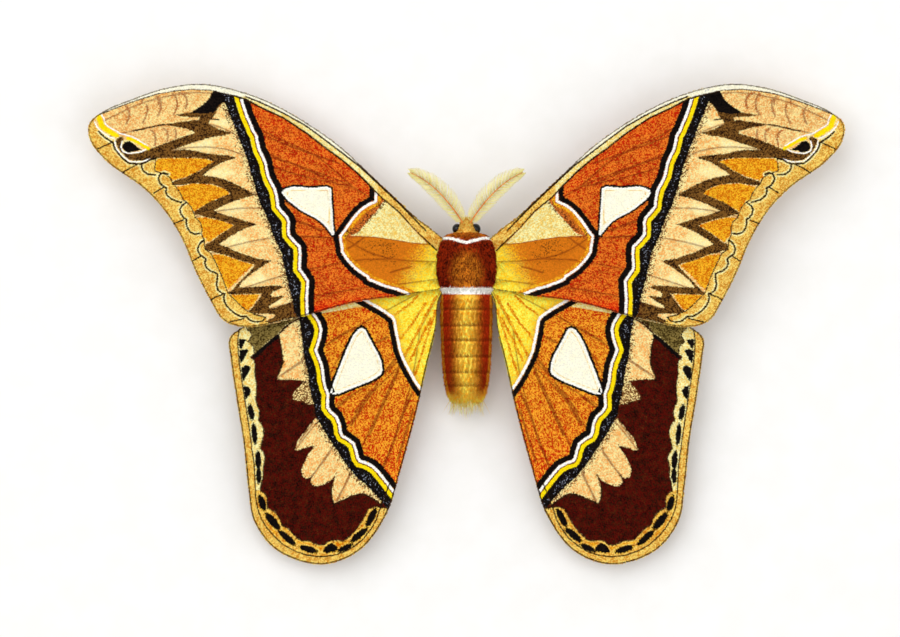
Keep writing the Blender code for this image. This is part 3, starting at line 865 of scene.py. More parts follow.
    def hair(self, side: int, material: Material, seed: int) -> Object:
        """Grows long soft hair over the wing's root, on its upper face.

        Args:
            side: 1 for the right wing and -1 for the left one.
            material: Its finish.
            seed: The seed of the hairs' differences.

        Returns:
            All of it, as one mesh.
        """
        rng = np.random.default_rng(seed)
        low, high = self.edge.min(0), self.edge.max(0)
        spread = rng.uniform(low, np.minimum(high, low + self.hair_box), (self.hairs * 6, 2))
        spread[:, 1] = rng.uniform(low[1], high[1], len(spread))
        reach = self.hair_reach(spread)
        keep = (self.marks.at(spread, RIM)[RIM] > 1.2) & (reach > rng.uniform(0, 1, len(spread)))
        roots = spread[keep & (spread[:, 0] > self.hair_start)][:self.hairs]
        count = len(roots)
        marks = self.marks.at(roots)
        base = np.column_stack([roots, self.marks.at(roots, RELIEF)[RELIEF]])
        way = unit(roots - np.array(self.root)) + rng.normal(0, 0.15, (count, 2))
        start = np.column_stack([way, np.full(count, 0.35)])
        end = np.column_stack([way, np.full(count, -0.05)])
        length, width = rng.uniform(0.8, 1.7, count), rng.uniform(0.08, 0.13, count)
        tufts = Tufts(base, start, end, length, width, self.map_place(roots, False), side)
        name = f"{self.name}_hair_{hand_of(side)}"
        return wear(new_object(name, tufts.mesh(name, marks, rng, 1), material), "wing")

    def hair_reach(self, at: Array) -> Array:
        """Gives how thickly the hair grows at some points, from 0 to 1."""
        away = np.minimum(distance(self.hair_line, at), 99)
        return np.clip(1 - away / self.hair_box[1], 0, 1)


def forewing_height(at: Array) -> Array:
    """The height of the forewing's middle, as in its solids: up from the root, then a cambered droop."""
    out = at[:, 0] - 5.0
    lean = math.radians(17)
    across = (at[:, 1] - 16.0) * math.cos(lean) - out * math.sin(lean)
    return 9.2 + 0.05 * out - 0.0011 * out ** 2 - 0.0022 * (across + 5.0) ** 2


def hindwing_height(at: Array) -> Array:
    """The height of the hindwing's middle, as in its solids: a droop away from the root."""
    out = np.hypot(at[:, 0] - 5.0, at[:, 1] - 8.0)
    return 7.8 + 0.03 * out - 0.0016 * out ** 2


class ForewingPattern:
    """What is painted on the right forewing, as lines and outlines in mm.

    The bands beside a line are given by how far past it they start and end.
    """

    INNER_BLACK, INNER_WHITE = (0, 0.95), (-0.52, -0.05)
    OUTER_BLACK, OUTER_WHITE, OUTER_YELLOW = (-1.75, -0.6), (-0.62, -0.12), (0.1, 0.8)
    WINDOW_BLACK, WINDOW_WHITE = (-0.26, 0.14), (0.14, 0.42)
    OUTLINE = (
        (3.2, 14.4), (10, 20.6), (16, 26.3), (24.5, 34), (34, 40.1), (41, 43.1), (49, 44.75), (56, 43.9),
        (62, 41.9), (67.2, 39.7), (69.8, 37.4), (69.5, 34.3), (66.3, 30.4), (60, 25.9), (56, 21.8),
        (52.4, 16), (50, 10.2), (47.3, 4.9), (44.9, 1.2), (41, -0.05), (33, 1.3), (20, 4.7), (10, 6.1),
        (3.2, 7.9),
    )
    VEINS = (
        ((4, 13.8), (17, 25.2), (27, 34.2), (38, 40.6), (49, 43.2), (59, 41.6), (67.2, 38)),
        ((4, 12.9), (13, 20), (21, 25.7), (35.5, 31.4), (47, 37.2), (56, 37.2), (68.2, 34.6)),
        ((21, 25.7), (27.5, 31.2), (36, 35.3), (46, 40.8)),
        ((21, 25.7), (29, 27.4), (37, 29.8), (45, 32.8), (54, 32.6), (63, 28.9)),
        ((23.9, 17.2), (29.5, 20.9), (37, 24), (47, 25.6), (57.4, 24.9)),
        ((23.9, 17.2), (30, 18.8), (37, 21.6), (45, 21.4), (53.6, 19.2)),
        ((4, 11.9), (12, 12.2), (18, 13.6), (23.9, 17.2)),
        ((22.6, 16), (29, 16.6), (36, 16.3), (44, 14.6), (49.8, 12.4)),
        ((14, 12.4), (20, 12.2), (27, 10.9), (34, 9.3), (46.7, 5.2)),
        ((4, 8.9), (12, 7.8), (20, 6.9), (28, 5.5), (35, 3.6), (43, 1.1)),
    )
    COSTA_LINE = (
        (5.5, 13.9), (7, 15.4), (10, 18.3), (12.7, 21.3), (15.7, 23.7), (17.3, 25.4), (20.3, 28.4),
        (23, 30.7), (25.8, 32.7), (29.5, 35.6), (33.9, 38.5), (38.2, 40.5), (41, 42), (43.5, 42.7),
        (47.2, 43.6), (51, 43.8), (54, 43.5), (57, 43), (60, 42.1), (63, 41.1), (67.9, 39.2),
    )
    COSTA_RIB = ((7.5, 17.6), (12, 22.2), (16, 26), (20, 29.7), (25.2, 33.7), (29.5, 36.9), (33.9, 39.4),
                 (38.2, 41.4), (41, 42.5))
    INNER_LINE = (
        (17, 26), (17, 24.6), (17, 23.2), (18, 22.8), (19.2, 22.1), (20.2, 21.2), (21.2, 20), (22, 18.9),
        (22.8, 17.7), (23.6, 16.7), (23.5, 15.8), (23.3, 14.8), (23.2, 13.6), (22.5, 12.5), (21.6, 11.4),
        (20.6, 10.4), (19.5, 9.6), (18.5, 9), (18.2, 8.4), (16.5, 7.7), (15, 7.1), (13, 6.6), (11.7, 6.1),
        (10.6, 5.6),
    )
    OUTER_LINE = (
        (42.3, 42.9), (41.7, 40.9), (41, 38.8), (40.2, 37), (39.8, 36), (39.2, 35), (39, 33.8),
        (38.6, 32.3), (38, 31.2), (37.5, 30), (37.3, 28.9), (37, 27.6), (36.4, 26.3), (35.8, 25.3),
        (35.5, 24.2), (35.3, 23), (35.2, 21.9), (34.5, 21), (33.5, 19.9), (33.2, 19.1), (33.3, 18),
        (33.2, 16.7), (32.2, 15.5), (31.2, 14.5), (31.1, 13.2), (31.2, 11.6), (31.2, 10.4), (30.2, 9),
        (29.7, 8.2), (29.9, 5), (29.8, 2),
    )
    OUTER_FUZZ = (
        (44.9, 41.6), (44.2, 40), (43.8, 39), (43.1, 37.4), (42.5, 36), (42, 34.5), (41.5, 33.3), (41, 32),
        (40.5, 30.7), (40, 29), (39.8, 28), (39.3, 26.5), (38.9, 25), (38.5, 23.8), (38, 22.2), (37.3, 21),
        (36.8, 19.8), (36.2, 18.3), (35.9, 17), (35.3, 15.8), (34.7, 14.6), (34.1, 13), (33.7, 11),
        (33.4, 9.5), (33, 8), (32.5, 6.2), (32.1, 4.5), (31.9, 3), (31.3, 1.5),
    )
    WINDOW = (
        (24.9, 25.5), (25.8, 25.9), (27.5, 25.75), (29, 25.65), (30.5, 25.85), (32, 25.9), (33.2, 25.6),
        (34.1, 25.1), (34.3, 24.6), (33.3, 23.3), (32, 22.3), (31, 21.5), (29.5, 20.6), (28, 19.9),
        (27, 19.2), (26, 18.2), (25.4, 17.4), (24.9, 16.7), (24.3, 16.5), (24.3, 17.3), (24.5, 18.5),
        (24.6, 21), (24.8, 23.2),
    )
    TRIANGLE = ((7.2, 15.2), (10, 18.1), (12.7, 21.1), (15.2, 23.2), (16.8, 21), (18.6, 19), (20.2, 17.2),
                (21.5, 16.7), (17, 16.5), (13, 15.9), (10, 15.4))
    DASHES = ((15.3, 22.9), (16.6, 21.6), (18, 20.2), (19.3, 18.8), (20.5, 17.5), (22.4, 17))
    BASE_LINES = (
        ((7, 15.1), (10, 15.4), (13, 15.9), (17, 16.5), (22.6, 16.6)),
        ((10.2, 11), (12.5, 10.4), (14, 9.9)), ((19, 16.3), (20.7, 15), (22.6, 13.9)),
    )
    MEDIAN_LINES = (
        ((23.5, 30.1), (30, 32.3), (34, 33.8), (37.7, 35.3)),
        ((23.5, 26.1), (28, 28.2), (32, 30), (36.2, 31.2)), ((26.8, 17.6), (29.5, 18.9), (31.2, 19.4)),
        ((24.4, 16.3), (28, 16.5), (31, 16.5)),
    )
    ARMS = (
        ((43.3, 35.7), (44.5, 36), (46, 36.5), (47.7, 37.4), (48.2, 37.7), (50, 38.1), (51.5, 37.95),
         (53, 37.75), (54.5, 37.5), (55.8, 37.25), (54.5, 37), (53, 36.75), (51.5, 36.35), (50.5, 36),
         (50.3, 35.7), (52.5, 35), (54, 34.5), (56, 33.75), (58, 32.95), (59.6, 32.4), (60.5, 32.05),
         (62.4, 31.85), (63.4, 32.1), (63.9, 32.8), (64, 33.5), (63.9, 34.1), (63.4, 34.6), (63.7, 35.1),
         (64.4, 34.9), (65, 34.4), (64.8, 33.7), (64.3, 32.6), (63.3, 31.5), (62.6, 30.9), (61.5, 30.6),
         (60, 30.6), (58.5, 30.9), (57.4, 31.05), (54, 31.1), (50, 31.1), (48, 30.9), (46.6, 30.4),
         (47.9, 29.8), (49.2, 28.8), (50.5, 28.25), (51.7, 27.5), (52.9, 27.2), (54.2, 26.8), (54.5, 26.3),
         (54.3, 26.05), (53.1, 26), (51.8, 26.2), (50.5, 26.4), (48.8, 26.35), (47, 26.2), (45.7, 25.8),
         (44.4, 25.2), (43.7, 24.4), (44.9, 24), (46.2, 23.4), (47.5, 23), (48.8, 22.1), (49.9, 21.4),
         (50.4, 21), (50.4, 20.6), (49.2, 20.5), (48.3, 20.15), (47, 19.9), (45.3, 19.5), (44, 19.1),
         (42.9, 18.6), (44, 17.9), (45.3, 17.1), (46.6, 16.1), (47.5, 15.4), (48, 15.4), (48.5, 14.7),
         (48.5, 14.2), (47.3, 13.85), (46.2, 13.5), (44.9, 13.2), (43.3, 12.65), (41.8, 12.1), (40.3, 11.7),
         (39.1, 11.25), (40.1, 10.1), (41.4, 8.8), (42.6, 7.5), (43.5, 6.6), (44.1, 6.1), (43.8, 5.85),
         (42.1, 5.85), (40.5, 5.9), (38.9, 5.95), (37.7, 5.95), (38.2, 5.25), (38.8, 4.5), (39.4, 3.6),
         (40, 3.1), (40.5, 2.7), (39.9, 2.45), (39.2, 2.3), (38.2, 2.3), (35.4, 2.25), (35.4, 1.8),
         (36.4, 1.25), (37.2, 0.8), (36.4, 0.45), (35.3, 0.8), (34.2, 1.1), (33.2, 1.35), (32.1, 1.5),
         (31, 1.7), (31.6, 3), (32.1, 4.5), (33.2, 4.15), (34.3, 3.8), (35.3, 3.4), (36.3, 3.25),
         (36.6, 3.6), (36, 4), (35.2, 4.5), (34.2, 5.1), (33.5, 5.6), (34.6, 5.55), (35.9, 5.35), (36.2, 6),
         (35.8, 6.35), (34.9, 6.7), (33.8, 7.2), (34.6, 7.5), (36, 7.5), (38, 7.35), (40, 7.2), (42.1, 7.1),
         (41.6, 8.1), (40.3, 9.2), (38.8, 10.3), (37.3, 11.3), (36, 12.1), (37.3, 12.25), (38.8, 12.5),
         (40.5, 13.1), (42.3, 13.7), (44, 14.5), (45.7, 15.15), (44.65, 15.9), (43.1, 16.9), (41.4, 17.8),
         (39.9, 18.4), (38.7, 18.8), (39.9, 19.15), (41.4, 19.6), (43.1, 20.15), (44.9, 20.6), (46.8, 21.3),
         (45.3, 22.1), (43.8, 22.8), (42.3, 23.3), (40.5, 23.85), (38.9, 24.2), (39.9, 24.75), (41.2, 25.5),
         (42.7, 26.3), (44.4, 27), (46.2, 27.5), (48.7, 27.9), (47.9, 28.6), (46.6, 29.4), (45.3, 30.2),
         (43.6, 30.8), (42.3, 31.1), (44, 31.5), (46, 31.7), (48, 31.9), (50, 32.4), (52, 32.65),
         (54.5, 32.5), (52, 33.4), (50, 34.1), (48, 34.7), (46.5, 35.05), (45, 35.2)),
        ((43, 42.6), (44.5, 43), (46, 43.4), (46.9, 43.6), (47.3, 42.8), (47.7, 42), (48.3, 41.3),
         (49, 40.8), (50, 40), (50.8, 39.6), (52, 39.35), (53.5, 39.2), (54.2, 39.1), (53, 38.85),
         (52, 38.7), (50.5, 38.65), (49.4, 38.6), (49.6, 38.1), (48.6, 37), (47.6, 37.5), (47.4, 38.2),
         (46.6, 38.9), (46.3, 39.6), (46, 40.2), (45.5, 40.8), (44.7, 41.6)),
    )
    APEX_BLACK = ((43, 42.6), (46.9, 43.6), (47.6, 42), (49, 40.8), (51, 39.5), (49, 39.2), (47.6, 39.4),
                  (46.6, 39.6), (45.6, 41), (44.6, 41.6))
    MILK = (
        ((47, 34.6), (51, 33.6), (54.4, 32.6), (50, 32.5), (47, 32.3)),
        ((44.5, 29.8), (48.4, 28.1), (45, 27.4), (43, 28.3)),
        ((42, 23), (46.5, 21.4), (43.5, 20.6), (41, 21.5)),
        ((42, 17.2), (45.4, 15.3), (42.5, 14.3), (40, 15.5)),
        ((38.5, 10), (41.9, 7.5), (38, 7.8), (36.5, 8.8)),
        ((44, 38.3), (47.3, 37.8), (45.5, 36.8), (43.5, 37)), ((34.3, 4.9), (36.4, 3.75), (34.6, 4.1)),
        ((47.6, 43.5), (49.5, 41.6), (51.5, 41.5), (51.4, 43.6)),
    )
    TEETH = (
        ((46.6, 30.4), (48, 30.9), (50, 31.1), (54, 31.1), (57.3, 31), (57.6, 30), (57.7, 28.8), (56, 28.2),
         (54.8, 27.4), (54.2, 26.9), (51.7, 27.6), (49.2, 28.8)),
        ((43.7, 24.4), (44.4, 25.2), (47, 26.2), (50.5, 26.4), (53.7, 25.7), (52.9, 24.6), (52.4, 23.3),
         (51.7, 22.9), (50.9, 22), (50.4, 21.1), (48.8, 22.1), (46.2, 23.4)),
        ((42.9, 18.6), (45.3, 19.5), (48.3, 20.15), (50, 20), (49.2, 19.2), (48.9, 18.1), (48.9, 17),
         (48.4, 15.9), (47.6, 15.5), (45.3, 17.1)),
        ((39.3, 11.3), (41.8, 12.1), (44.9, 13.2), (47.1, 13.3), (46, 10.9), (45.3, 9.4), (44.6, 7.5),
         (44.1, 6.7), (43, 7.7), (41.8, 9), (40.5, 10.3)),
        ((38.2, 5.95), (40.5, 5.85), (43.8, 5.8), (43, 5), (42, 4), (41.1, 3.2), (40.4, 2.9), (39.5, 3.7),
         (38.8, 4.8)),
    )
    TEETH_LINE = (
        (57.4, 31.2), (57.6, 30), (57.7, 28.7), (56, 28.2), (54.8, 27.4), (54.3, 26.4), (53.7, 25.7),
        (52.9, 24.6), (52.4, 23.3), (51.7, 22.9), (50.9, 22), (50.5, 21), (50.1, 20), (49.2, 19.2),
        (48.9, 18.1), (49, 17), (48.5, 15.9), (48.4, 14.3), (47.2, 13.4), (46, 10.9), (45.3, 9.4),
        (44.6, 7.4), (44, 6), (43, 5), (42, 4), (41.1, 3.2), (40.4, 2.7), (39, 2.15), (37.2, 1.6),
    )
    EDGE_START = ((70.5, 39), (69, 38.6), (68.1, 36), (66.9, 34.9), (65.4, 34), (65.1, 32.8), (63.6, 31),
                  (62.4, 30.1), (60.1, 30), (58.5, 30.7)) + TEETH_LINE[1:] + ((36.4, 0.4), (35.4, -1))
    SCALLOPS = (
        ((60, 30.1), (60.1, 29.4), (59.8, 28.7), (59, 28.1), (58.1, 28), (57.5, 28)),
        ((55.2, 28.1), (55.95, 28.35), (56.7, 28.1), (57, 27.3), (56.7, 26.5), (56.2, 25.9), (55.5, 25.6),
         (55.6, 24.8), (55.3, 24.1), (54.4, 23.4), (53.6, 23.1), (52.7, 22.9)),
        ((51.9, 22.8), (52.6, 22.3), (53, 21.6), (52.8, 20.7), (52.3, 20), (51.8, 19.8), (51.8, 19),
         (51.6, 18.1), (51, 17.3), (50.1, 17), (49.3, 17.15)),
        ((48.5, 15.9), (49, 15.6), (49.5, 14.9), (49.7, 14.1), (49.4, 13.3), (48.8, 12.9), (48.2, 12.4),
         (48.4, 11.6), (48.1, 10.8), (47.3, 10.15), (46.5, 9.9), (46, 9.6), (46.1, 8.7), (46.2, 7.65),
         (46, 6.7), (45.3, 6.1), (44.7, 5.95), (44.9, 5.3), (44.8, 4.6), (44.4, 3.8), (43.8, 3.1),
         (43.2, 2.6), (42.5, 2.1), (41.9, 1.85), (40.7, 1.75), (40.1, 1.1), (39.5, 0.85), (38.6, 0.75)),
        ((57.5, 31), (58.5, 30.8), (59.5, 30.2), (60.3, 30), (62.4, 30.1), (62.8, 30.4), (63.6, 31),
         (64.4, 31.9), (65.1, 32.8), (65.3, 33.4), (65.4, 34), (66, 34.3), (66.9, 34.9), (67.5, 35.4),
         (68.1, 36)),
    )
    TICKS = (
        ((65.6, 34), (67, 33.4), (68.3, 32.8)), ((60.7, 30), (62.5, 29.1), (63.8, 28.3)),
        ((55.9, 25.7), (57.8, 24.6)), ((52.4, 19.6), (54.1, 18.95)), ((49.2, 12.9), (50.5, 12.1)),
        ((45.2, 5.8), (46.6, 5.3), (47.3, 4.8)), ((41.1, 1.4), (42.5, 1.05), (43.8, 0.8)),
        ((37.1, 1.65), (38, 1.85), (39.2, 2.15)), ((37.1, 1.6), (37.7, 1), (38.6, 0.75)),
    )
    APEX_FIELD = ((47, 43.6), (48.3, 41.3), (50, 40), (50.2, 37.2), (51, 35.6), (58, 32.9), (61, 34.4),
                  (64, 35.4), (67.2, 37.4), (67.9, 39.2), (63, 41.1), (57, 43), (51, 43.8))
    APEX_HATCH = (
        ((53.2, 43.2), (52.3, 42.9), (51.8, 42.2), (51.7, 41.3), (52, 40.3)),
        ((54.3, 43), (53.7, 42.3), (53.5, 41.3), (53.6, 40.3), (54.2, 39.1)),
        ((57.4, 42.5), (56.8, 42.1), (56.5, 41.4), (56.6, 40.1), (57.1, 38.9)),
        ((57.1, 42.2), (56.9, 41.5), (57, 41)),
        ((59.2, 40.9), (59, 40.2), (59.1, 39.5), (59.4, 38.6), (59.9, 37.6)), ((60, 42.3), (60, 41.2)),
        ((63.1, 40.8), (62.6, 40.2), (62.4, 39.2), (62.6, 38.2), (63, 37.4)),
        ((53.8, 36.3), (53.7, 35.5), (53.8, 34.8)), ((56, 36.5), (55.4, 36.1), (55.2, 35.2), (55.4, 34.2)),
        ((58.3, 36.2), (57.7, 35.6), (57.5, 34.6), (57.7, 33.4)),
    )
    APEX_LINES = (
        ((55.8, 37.3), (57, 37.1), (58.5, 36.8), (60, 36.4), (61.7, 36.1)), ((45.8, 38.15), (47.4, 38.3)),
    )
    EYESPOT = ((60, 32.6), (61, 33.2), (61.8, 33.9), (62.5, 34.3), (63.2, 34.1), (63.6, 33.6), (63.7, 33.1),
               (63.4, 32.5), (62.8, 32.2), (62, 32.15), (61.3, 32.4), (60.6, 32.5))
    EYE_STRIPE = ((58.8, 32.85), (59.6, 33.3), (60.6, 33.85), (61.6, 34.4), (62.7, 34.75))
    APEX_YELLOW = (
        (64.2, 35.3), (65, 35.9), (66.2, 36.6), (67, 37.1), (67.3, 38), (67.7, 39), (68.1, 39.3),
        (68.4, 38.8), (68.5, 38.3), (68.2, 37.7), (68, 36.9), (67.2, 36.2), (66, 35.4), (65, 34.9),
        (64.4, 34.9),
    )
    APEX_WHITES = (
        ((59, 33.4), (60.5, 34.3), (62, 35.1), (63, 35.35), (64, 35.6), (65, 36.2), (66.3, 36.95),
         (66.9, 37.5), (67.1, 38.4), (67.7, 39.4)),
        ((59.4, 32.7), (60.2, 32.3), (61.4, 32.05), (62.6, 31.95), (63.6, 32.35), (63.95, 33.2),
         (63.7, 34.2)),
        ((58.6, 30.9), (60, 30.4), (61.5, 30.35), (62.5, 30.55), (63.5, 31.35), (64.5, 32.4), (65, 33.3),
         (65.1, 34.3)),
        ((65.2, 34.65), (66.3, 35.1), (67.5, 35.95), (68.4, 36.8), (68.9, 37.9)),
    )

    def paint(self, at: Array, within: Array) -> dict[Ink, Array]:
        """Works out how deep points lie in each ink.

        Args:
            at: The points, in mm.
            within: How far inside the wing's edge they lie.

        Returns:
            The depths for each ink that is used.
        """
        x, y = at[:, 0], at[:, 1]
        costa, rib = self.above(self.COSTA_LINE, at), self.above(self.COSTA_RIB, at)
        inner, outer = beyond(self.INNER_LINE, at), beyond(self.OUTER_LINE, at)
        fuzz, edge = beyond(self.OUTER_FUZZ, at), beyond(self.EDGE_START, at)
        window, eye, triangle = (depth(shape, at) for shape in (self.WINDOW, self.EYESPOT, self.TRIANGLE))
        dashes = stroke(self.DASHES, 1.0, at)
        median = all_of(inner, -outer)
        red_foot = all_of(1.4 - (y - 5.6) - 0.12 * (x - 11), 2) / 1.7
        red_front = 0.3 - 0.1 * abs(costa + 1)
        root_specks = all_of(-inner - 1, x - 9, -9 * triangle) / 9
        black = any_of(band(inner, *self.INNER_BLACK), band(outer, *self.OUTER_BLACK),
                       all_of(outer - 0.75, -fuzz))
        white = any_of(band(inner, *self.INNER_WHITE), band(outer, *self.OUTER_WHITE))
        costa_line = np.interp(x, (16, 18, 43, 45), (0.13, 0.17, 0.17, 0.1)) - abs(costa)
        return {
            Ink.GOLD: all_of(9.4 - x - 0.55 * (y - 11), 3 * (15.2 - y)) / 2,
            Ink.RUST: median,
            Ink.SCARLET: all_of(median, any_of(red_foot, 0.06, red_front) - 0.32),
            Ink.FLESH: outer - 0.5,
            Ink.MILK: shapes(self.MILK, at),
            Ink.BLUSH: depth(self.APEX_FIELD, at),
            Ink.EMBER: any_of(strokes(self.APEX_HATCH, 2.0, at) / 2 - 0.8, dashes + 0.25),
            Ink.OCHRE: any_of(shapes(self.TEETH, at), all_of(band(inner, -1.2, -0.6), y - 6)),
            Ink.EDGE: any_of(edge, all_of(costa, 16.4 - x), window),
            Ink.BUTTER: any_of(all_of(costa, band(x, 16.4, 42)), triangle, strokes(self.SCALLOPS, 0.9, at)),
            Ink.VEIN: any_of(strokes(self.MEDIAN_LINES + self.BASE_LINES, 0.34, at),
                             strokes(self.APEX_HATCH, 0.36, at)),
            Ink.BROWN: shapes(self.ARMS, at),
            Ink.SPECK: any_of(0.2 - 0.8 * abs(fuzz - 0.1), stroke(self.DASHES, 0.5, at), root_specks - 0.95),
            Ink.CREAM: any_of(all_of(window, abs(window - 0.8) - 0.1),
                              all_of(costa, x - 16.8, any_of(rib, x - 42.5))),
            Ink.BLACK: any_of(all_of(black, -costa), band(window, *self.WINDOW_BLACK), eye,
                              depth(self.APEX_BLACK, at)),
            Ink.YELLOW: any_of(all_of(band(outer, *self.OUTER_YELLOW), -costa),
                               depth(self.APEX_YELLOW, at), stroke(self.EYE_STRIPE, 0.6, at)),
            Ink.WHITE: any_of(all_of(white, -costa), band(window, *self.WINDOW_WHITE),
                              strokes(self.APEX_WHITES, 0.24, at)),
            Ink.LINE: any_of(strokes(self.SCALLOPS, 0.34, at), stroke(self.TEETH_LINE, 0.2, at), costa_line,
                             strokes(self.TICKS + self.APEX_LINES, 0.26, at), 0.08 - abs(within - 0.05),
                             all_of(0.15 - abs(rib), 41 - x), all_of(0.09 - abs(outer), -costa)),
            Ink.FROST: all_of(outer - 1, -0.1 - fuzz) * 0.4 - 0.95,
        }

    @staticmethod
    def above(curve: Points, at: Array) -> Array:
        """How far each point lies in front of a curve that runs out along the wing, in mm."""
        line = np.array(curve, float)
        closing = [(line[-1][0] + 60, line[-1][1] - 10), (200, 200), (-50, 200), (-50, line[0][1] - 60)]
        away = distance(line, at)
        return np.where(inside(np.vstack([line, closing]), at), away, -away)


class HindwingPattern:
    """What is painted on the right hindwing, as lines and outlines in mm.

    The bands beside a line are given by how far past it they start and end.
    """

    INNER_BLACK, INNER_WHITE = (0, 0.95), (-0.56, -0.06)
    OUTER_BLACK, OUTER_WHITE, OUTER_YELLOW = (-1.8, -0.7), (-0.72, -0.22), (-0.02, 0.7)
    WINDOW_BLACK, WINDOW_WHITE = (-0.34, 0.14), (0.14, 0.44)
    GOLDEN_END = -30.5  # the place along Y past which the chain is golden instead of pale
    OUTLINE = (
        (3.4, 10.4), (14, 9.1), (26, 6.2), (36, 2.4), (41.2, -0.1), (43.8, -2.3), (43.6, -6), (42.6, -13),
        (41.2, -22), (40.4, -30), (39.3, -36.3), (35, -41.7), (27, -44.2), (20, -41.6), (15, -34.9),
        (12.3, -26.5), (9.2, -15), (7.4, -7), (5.7, 0), (5.2, 4.8), (3.4, 8.2),
    )
    VEINS = (
        ((4.2, 9.3), (14, 8), (24, 5.6), (34, 2), (41.8, -1.8)),
        ((4.2, 8.5), (12, 4.4), (19, 0.6), (25.8, -3.4), (34.5, -9.2), (42, -15.4)),
        ((19, 0.6), (22.8, -4.5), (26.6, -11), (32, -17), (40.7, -23.8)),
        ((11.4, -5.2), (16.3, -9.8), (21, -12.6), (25.5, -15.6), (31, -22), (39.2, -33.8)),
        ((12.5, -7.5), (16.5, -11.4), (22, -18.5), (29, -28.5), (36.3, -39.5)),
        ((4.2, 7.6), (8.6, -0.5), (12.5, -7.5)),
        ((12.5, -7.5), (17.7, -18.8), (22.6, -29.5), (28.4, -43.3)),
        ((8.6, -0.5), (9.9, -9), (12.4, -18), (16.2, -28.5), (22, -42.2)),
    )
    INNER_LINE = (
        (20.5, 5.3), (18.8, 4.5), (17.8, 3.9), (16.2, 3), (14.8, 2.1), (13.9, 1.4), (13.6, 0.8),
        (13.4, -0.5), (13.2, -1.7), (12.9, -3), (12.6, -4.5), (12.1, -5.9), (11.5, -7.2), (10.7, -8.7),
        (9.8, -10.3), (8.9, -11.6), (7.9, -13),
    )
    FRONT_STRIP = ((18, 3.7), (20, 3.5), (22, 3.2), (24, 2.8), (26, 2.5), (27.5, 2.2), (28, 6), (18.6, 6.5))
    OUTER_LINE = (
        (30.1, 3.6), (29, 2.3), (28.3, 1.4), (27.7, 0.4), (27.4, -0.7), (27.6, -2), (28, -3.3),
        (28.4, -4.4), (28, -5.5), (27.4, -7), (27.1, -8.3), (26.9, -10.2), (26.5, -11.8), (26.1, -12.7),
        (26.2, -13.9), (26.2, -15.2), (25.5, -16.2), (24.5, -17.1), (24, -18.3), (23.8, -19.8),
        (23.3, -20.8), (22.3, -21.3), (21.3, -22.1), (20.9, -23.3), (20.6, -24.6), (20.1, -25.4),
        (18.8, -25.8), (17.5, -26.5), (16.6, -27.5), (15.7, -28.6), (14.7, -29.9), (13.6, -31.4),
    )
    OUTER_FUZZ = (
        (31.3, 2.6), (31, 1.2), (30.8, 0), (30.6, -1), (30.4, -2.5), (30.3, -4), (30.1, -5.5), (29.9, -6.6),
        (29.5, -8), (29.3, -9.4), (29.2, -10.8), (28.9, -12), (28.7, -13.3), (28.3, -14.6), (28.1, -15.6),
        (28, -16.8), (27.6, -17.2), (27, -18.4), (26.5, -19.3), (25.9, -20.3), (25.2, -21.3), (24.6, -22.3),
        (23.9, -23.2), (23, -24.7), (22, -26), (21, -27.3), (20, -28.4), (18.6, -29.5), (17.5, -30.6),
        (16.4, -31.8), (15.3, -33.1),
    )
    WINDOW = (
        (19.4, -0.15), (20.2, -0.6), (21, -1.6), (22, -3.5), (23, -6), (24, -8.5), (25, -11.2),
        (25.4, -12.3), (24.8, -12.8), (23.5, -12.6), (22, -12), (20, -11.2), (18, -10.4), (16.7, -9.7),
        (15.7, -9), (15.4, -8.2), (15.6, -6.8), (16, -5.5), (17, -3.7), (18, -1.8), (18.6, -0.6),
    )
    STREAKS = (
        ((16.4, -10.5), (19, -14.5), (21.3, -18.4)),
        ((12.6, -8.3), (14, -11.5), (16.3, -16.5), (18, -20.2)),
        ((10.1, -12.5), (12, -16.8), (13.6, -21.8), (15.5, -26.2)), ((12.9, -5.7), (15.3, -8.7)),
        ((20.6, -0.3), (23, -1.6), (25, -2.8)), ((9.9, -15.5), (12.8, -25)), ((17.8, -12), (20.6, -16)),
        ((14.6, -2), (16.6, -3)), ((21.5, -13), (23.8, -15)),
    )
    BASE_STREAKS = (
        ((5.6, 5.5), (7.5, 2), (9.3, -1.5), (11.3, -5.4)), ((5.7, 3), (7, -1), (8.2, -5), (9.6, -9.2)),
        ((9, 5.6), (11, 3.6), (13.1, 2.2)), ((7.6, 4.2), (10, 0.4), (12.2, -2.2)),
        ((6.6, 1.4), (8.4, -2.2), (10.4, -6.4)),
    )
    PATCHES = (
        ((30.6, 1.3), (31.8, 0.8), (32.5, 0.4), (33.3, -0.3), (34, -1), (34.6, -1.5), (34.6, -2.3),
         (34.3, -3.3), (34.1, -4.3), (34, -5.5), (33.9, -6.6), (34.2, -7.8), (34.6, -8.8), (35, -9.4),
         (35, -9.8), (34, -9.9), (32.5, -9.9), (31.2, -10), (30.2, -10.2), (28.8, -10.4), (29.4, -5.5)),
        ((27.3, -17), (28, -17.2), (28.6, -17.9), (29.4, -18.9), (30.3, -20), (31.1, -21), (31.5, -22),
         (31.8, -23), (31, -23), (30.3, -22.7), (29.3, -22.4), (28.1, -22.1), (28.7, -23), (29.3, -23.8),
         (29.9, -25), (30.4, -26), (30.6, -26.8), (30.4, -27.6), (30.2, -28.1), (29.4, -28.25), (28.9, -28),
         (28.4, -27.4), (28.8, -28.3), (28.9, -29.1), (28.3, -29.6), (27.6, -29.7), (26.6, -29.4),
         (25.6, -28.9), (24.9, -28.4), (24.1, -27.4), (24.6, -28.8), (24.9, -30), (24.9, -31.2),
         (24.8, -32.2), (24.5, -32.9), (23.8, -32.5), (22.5, -32), (21.3, -31.4), (20, -31.05), (18.9, -31),
         (18, -31.4), (17, -32.1), (15.6, -33.1), (15.6, -31.4), (20, -27), (24, -22)),
    )
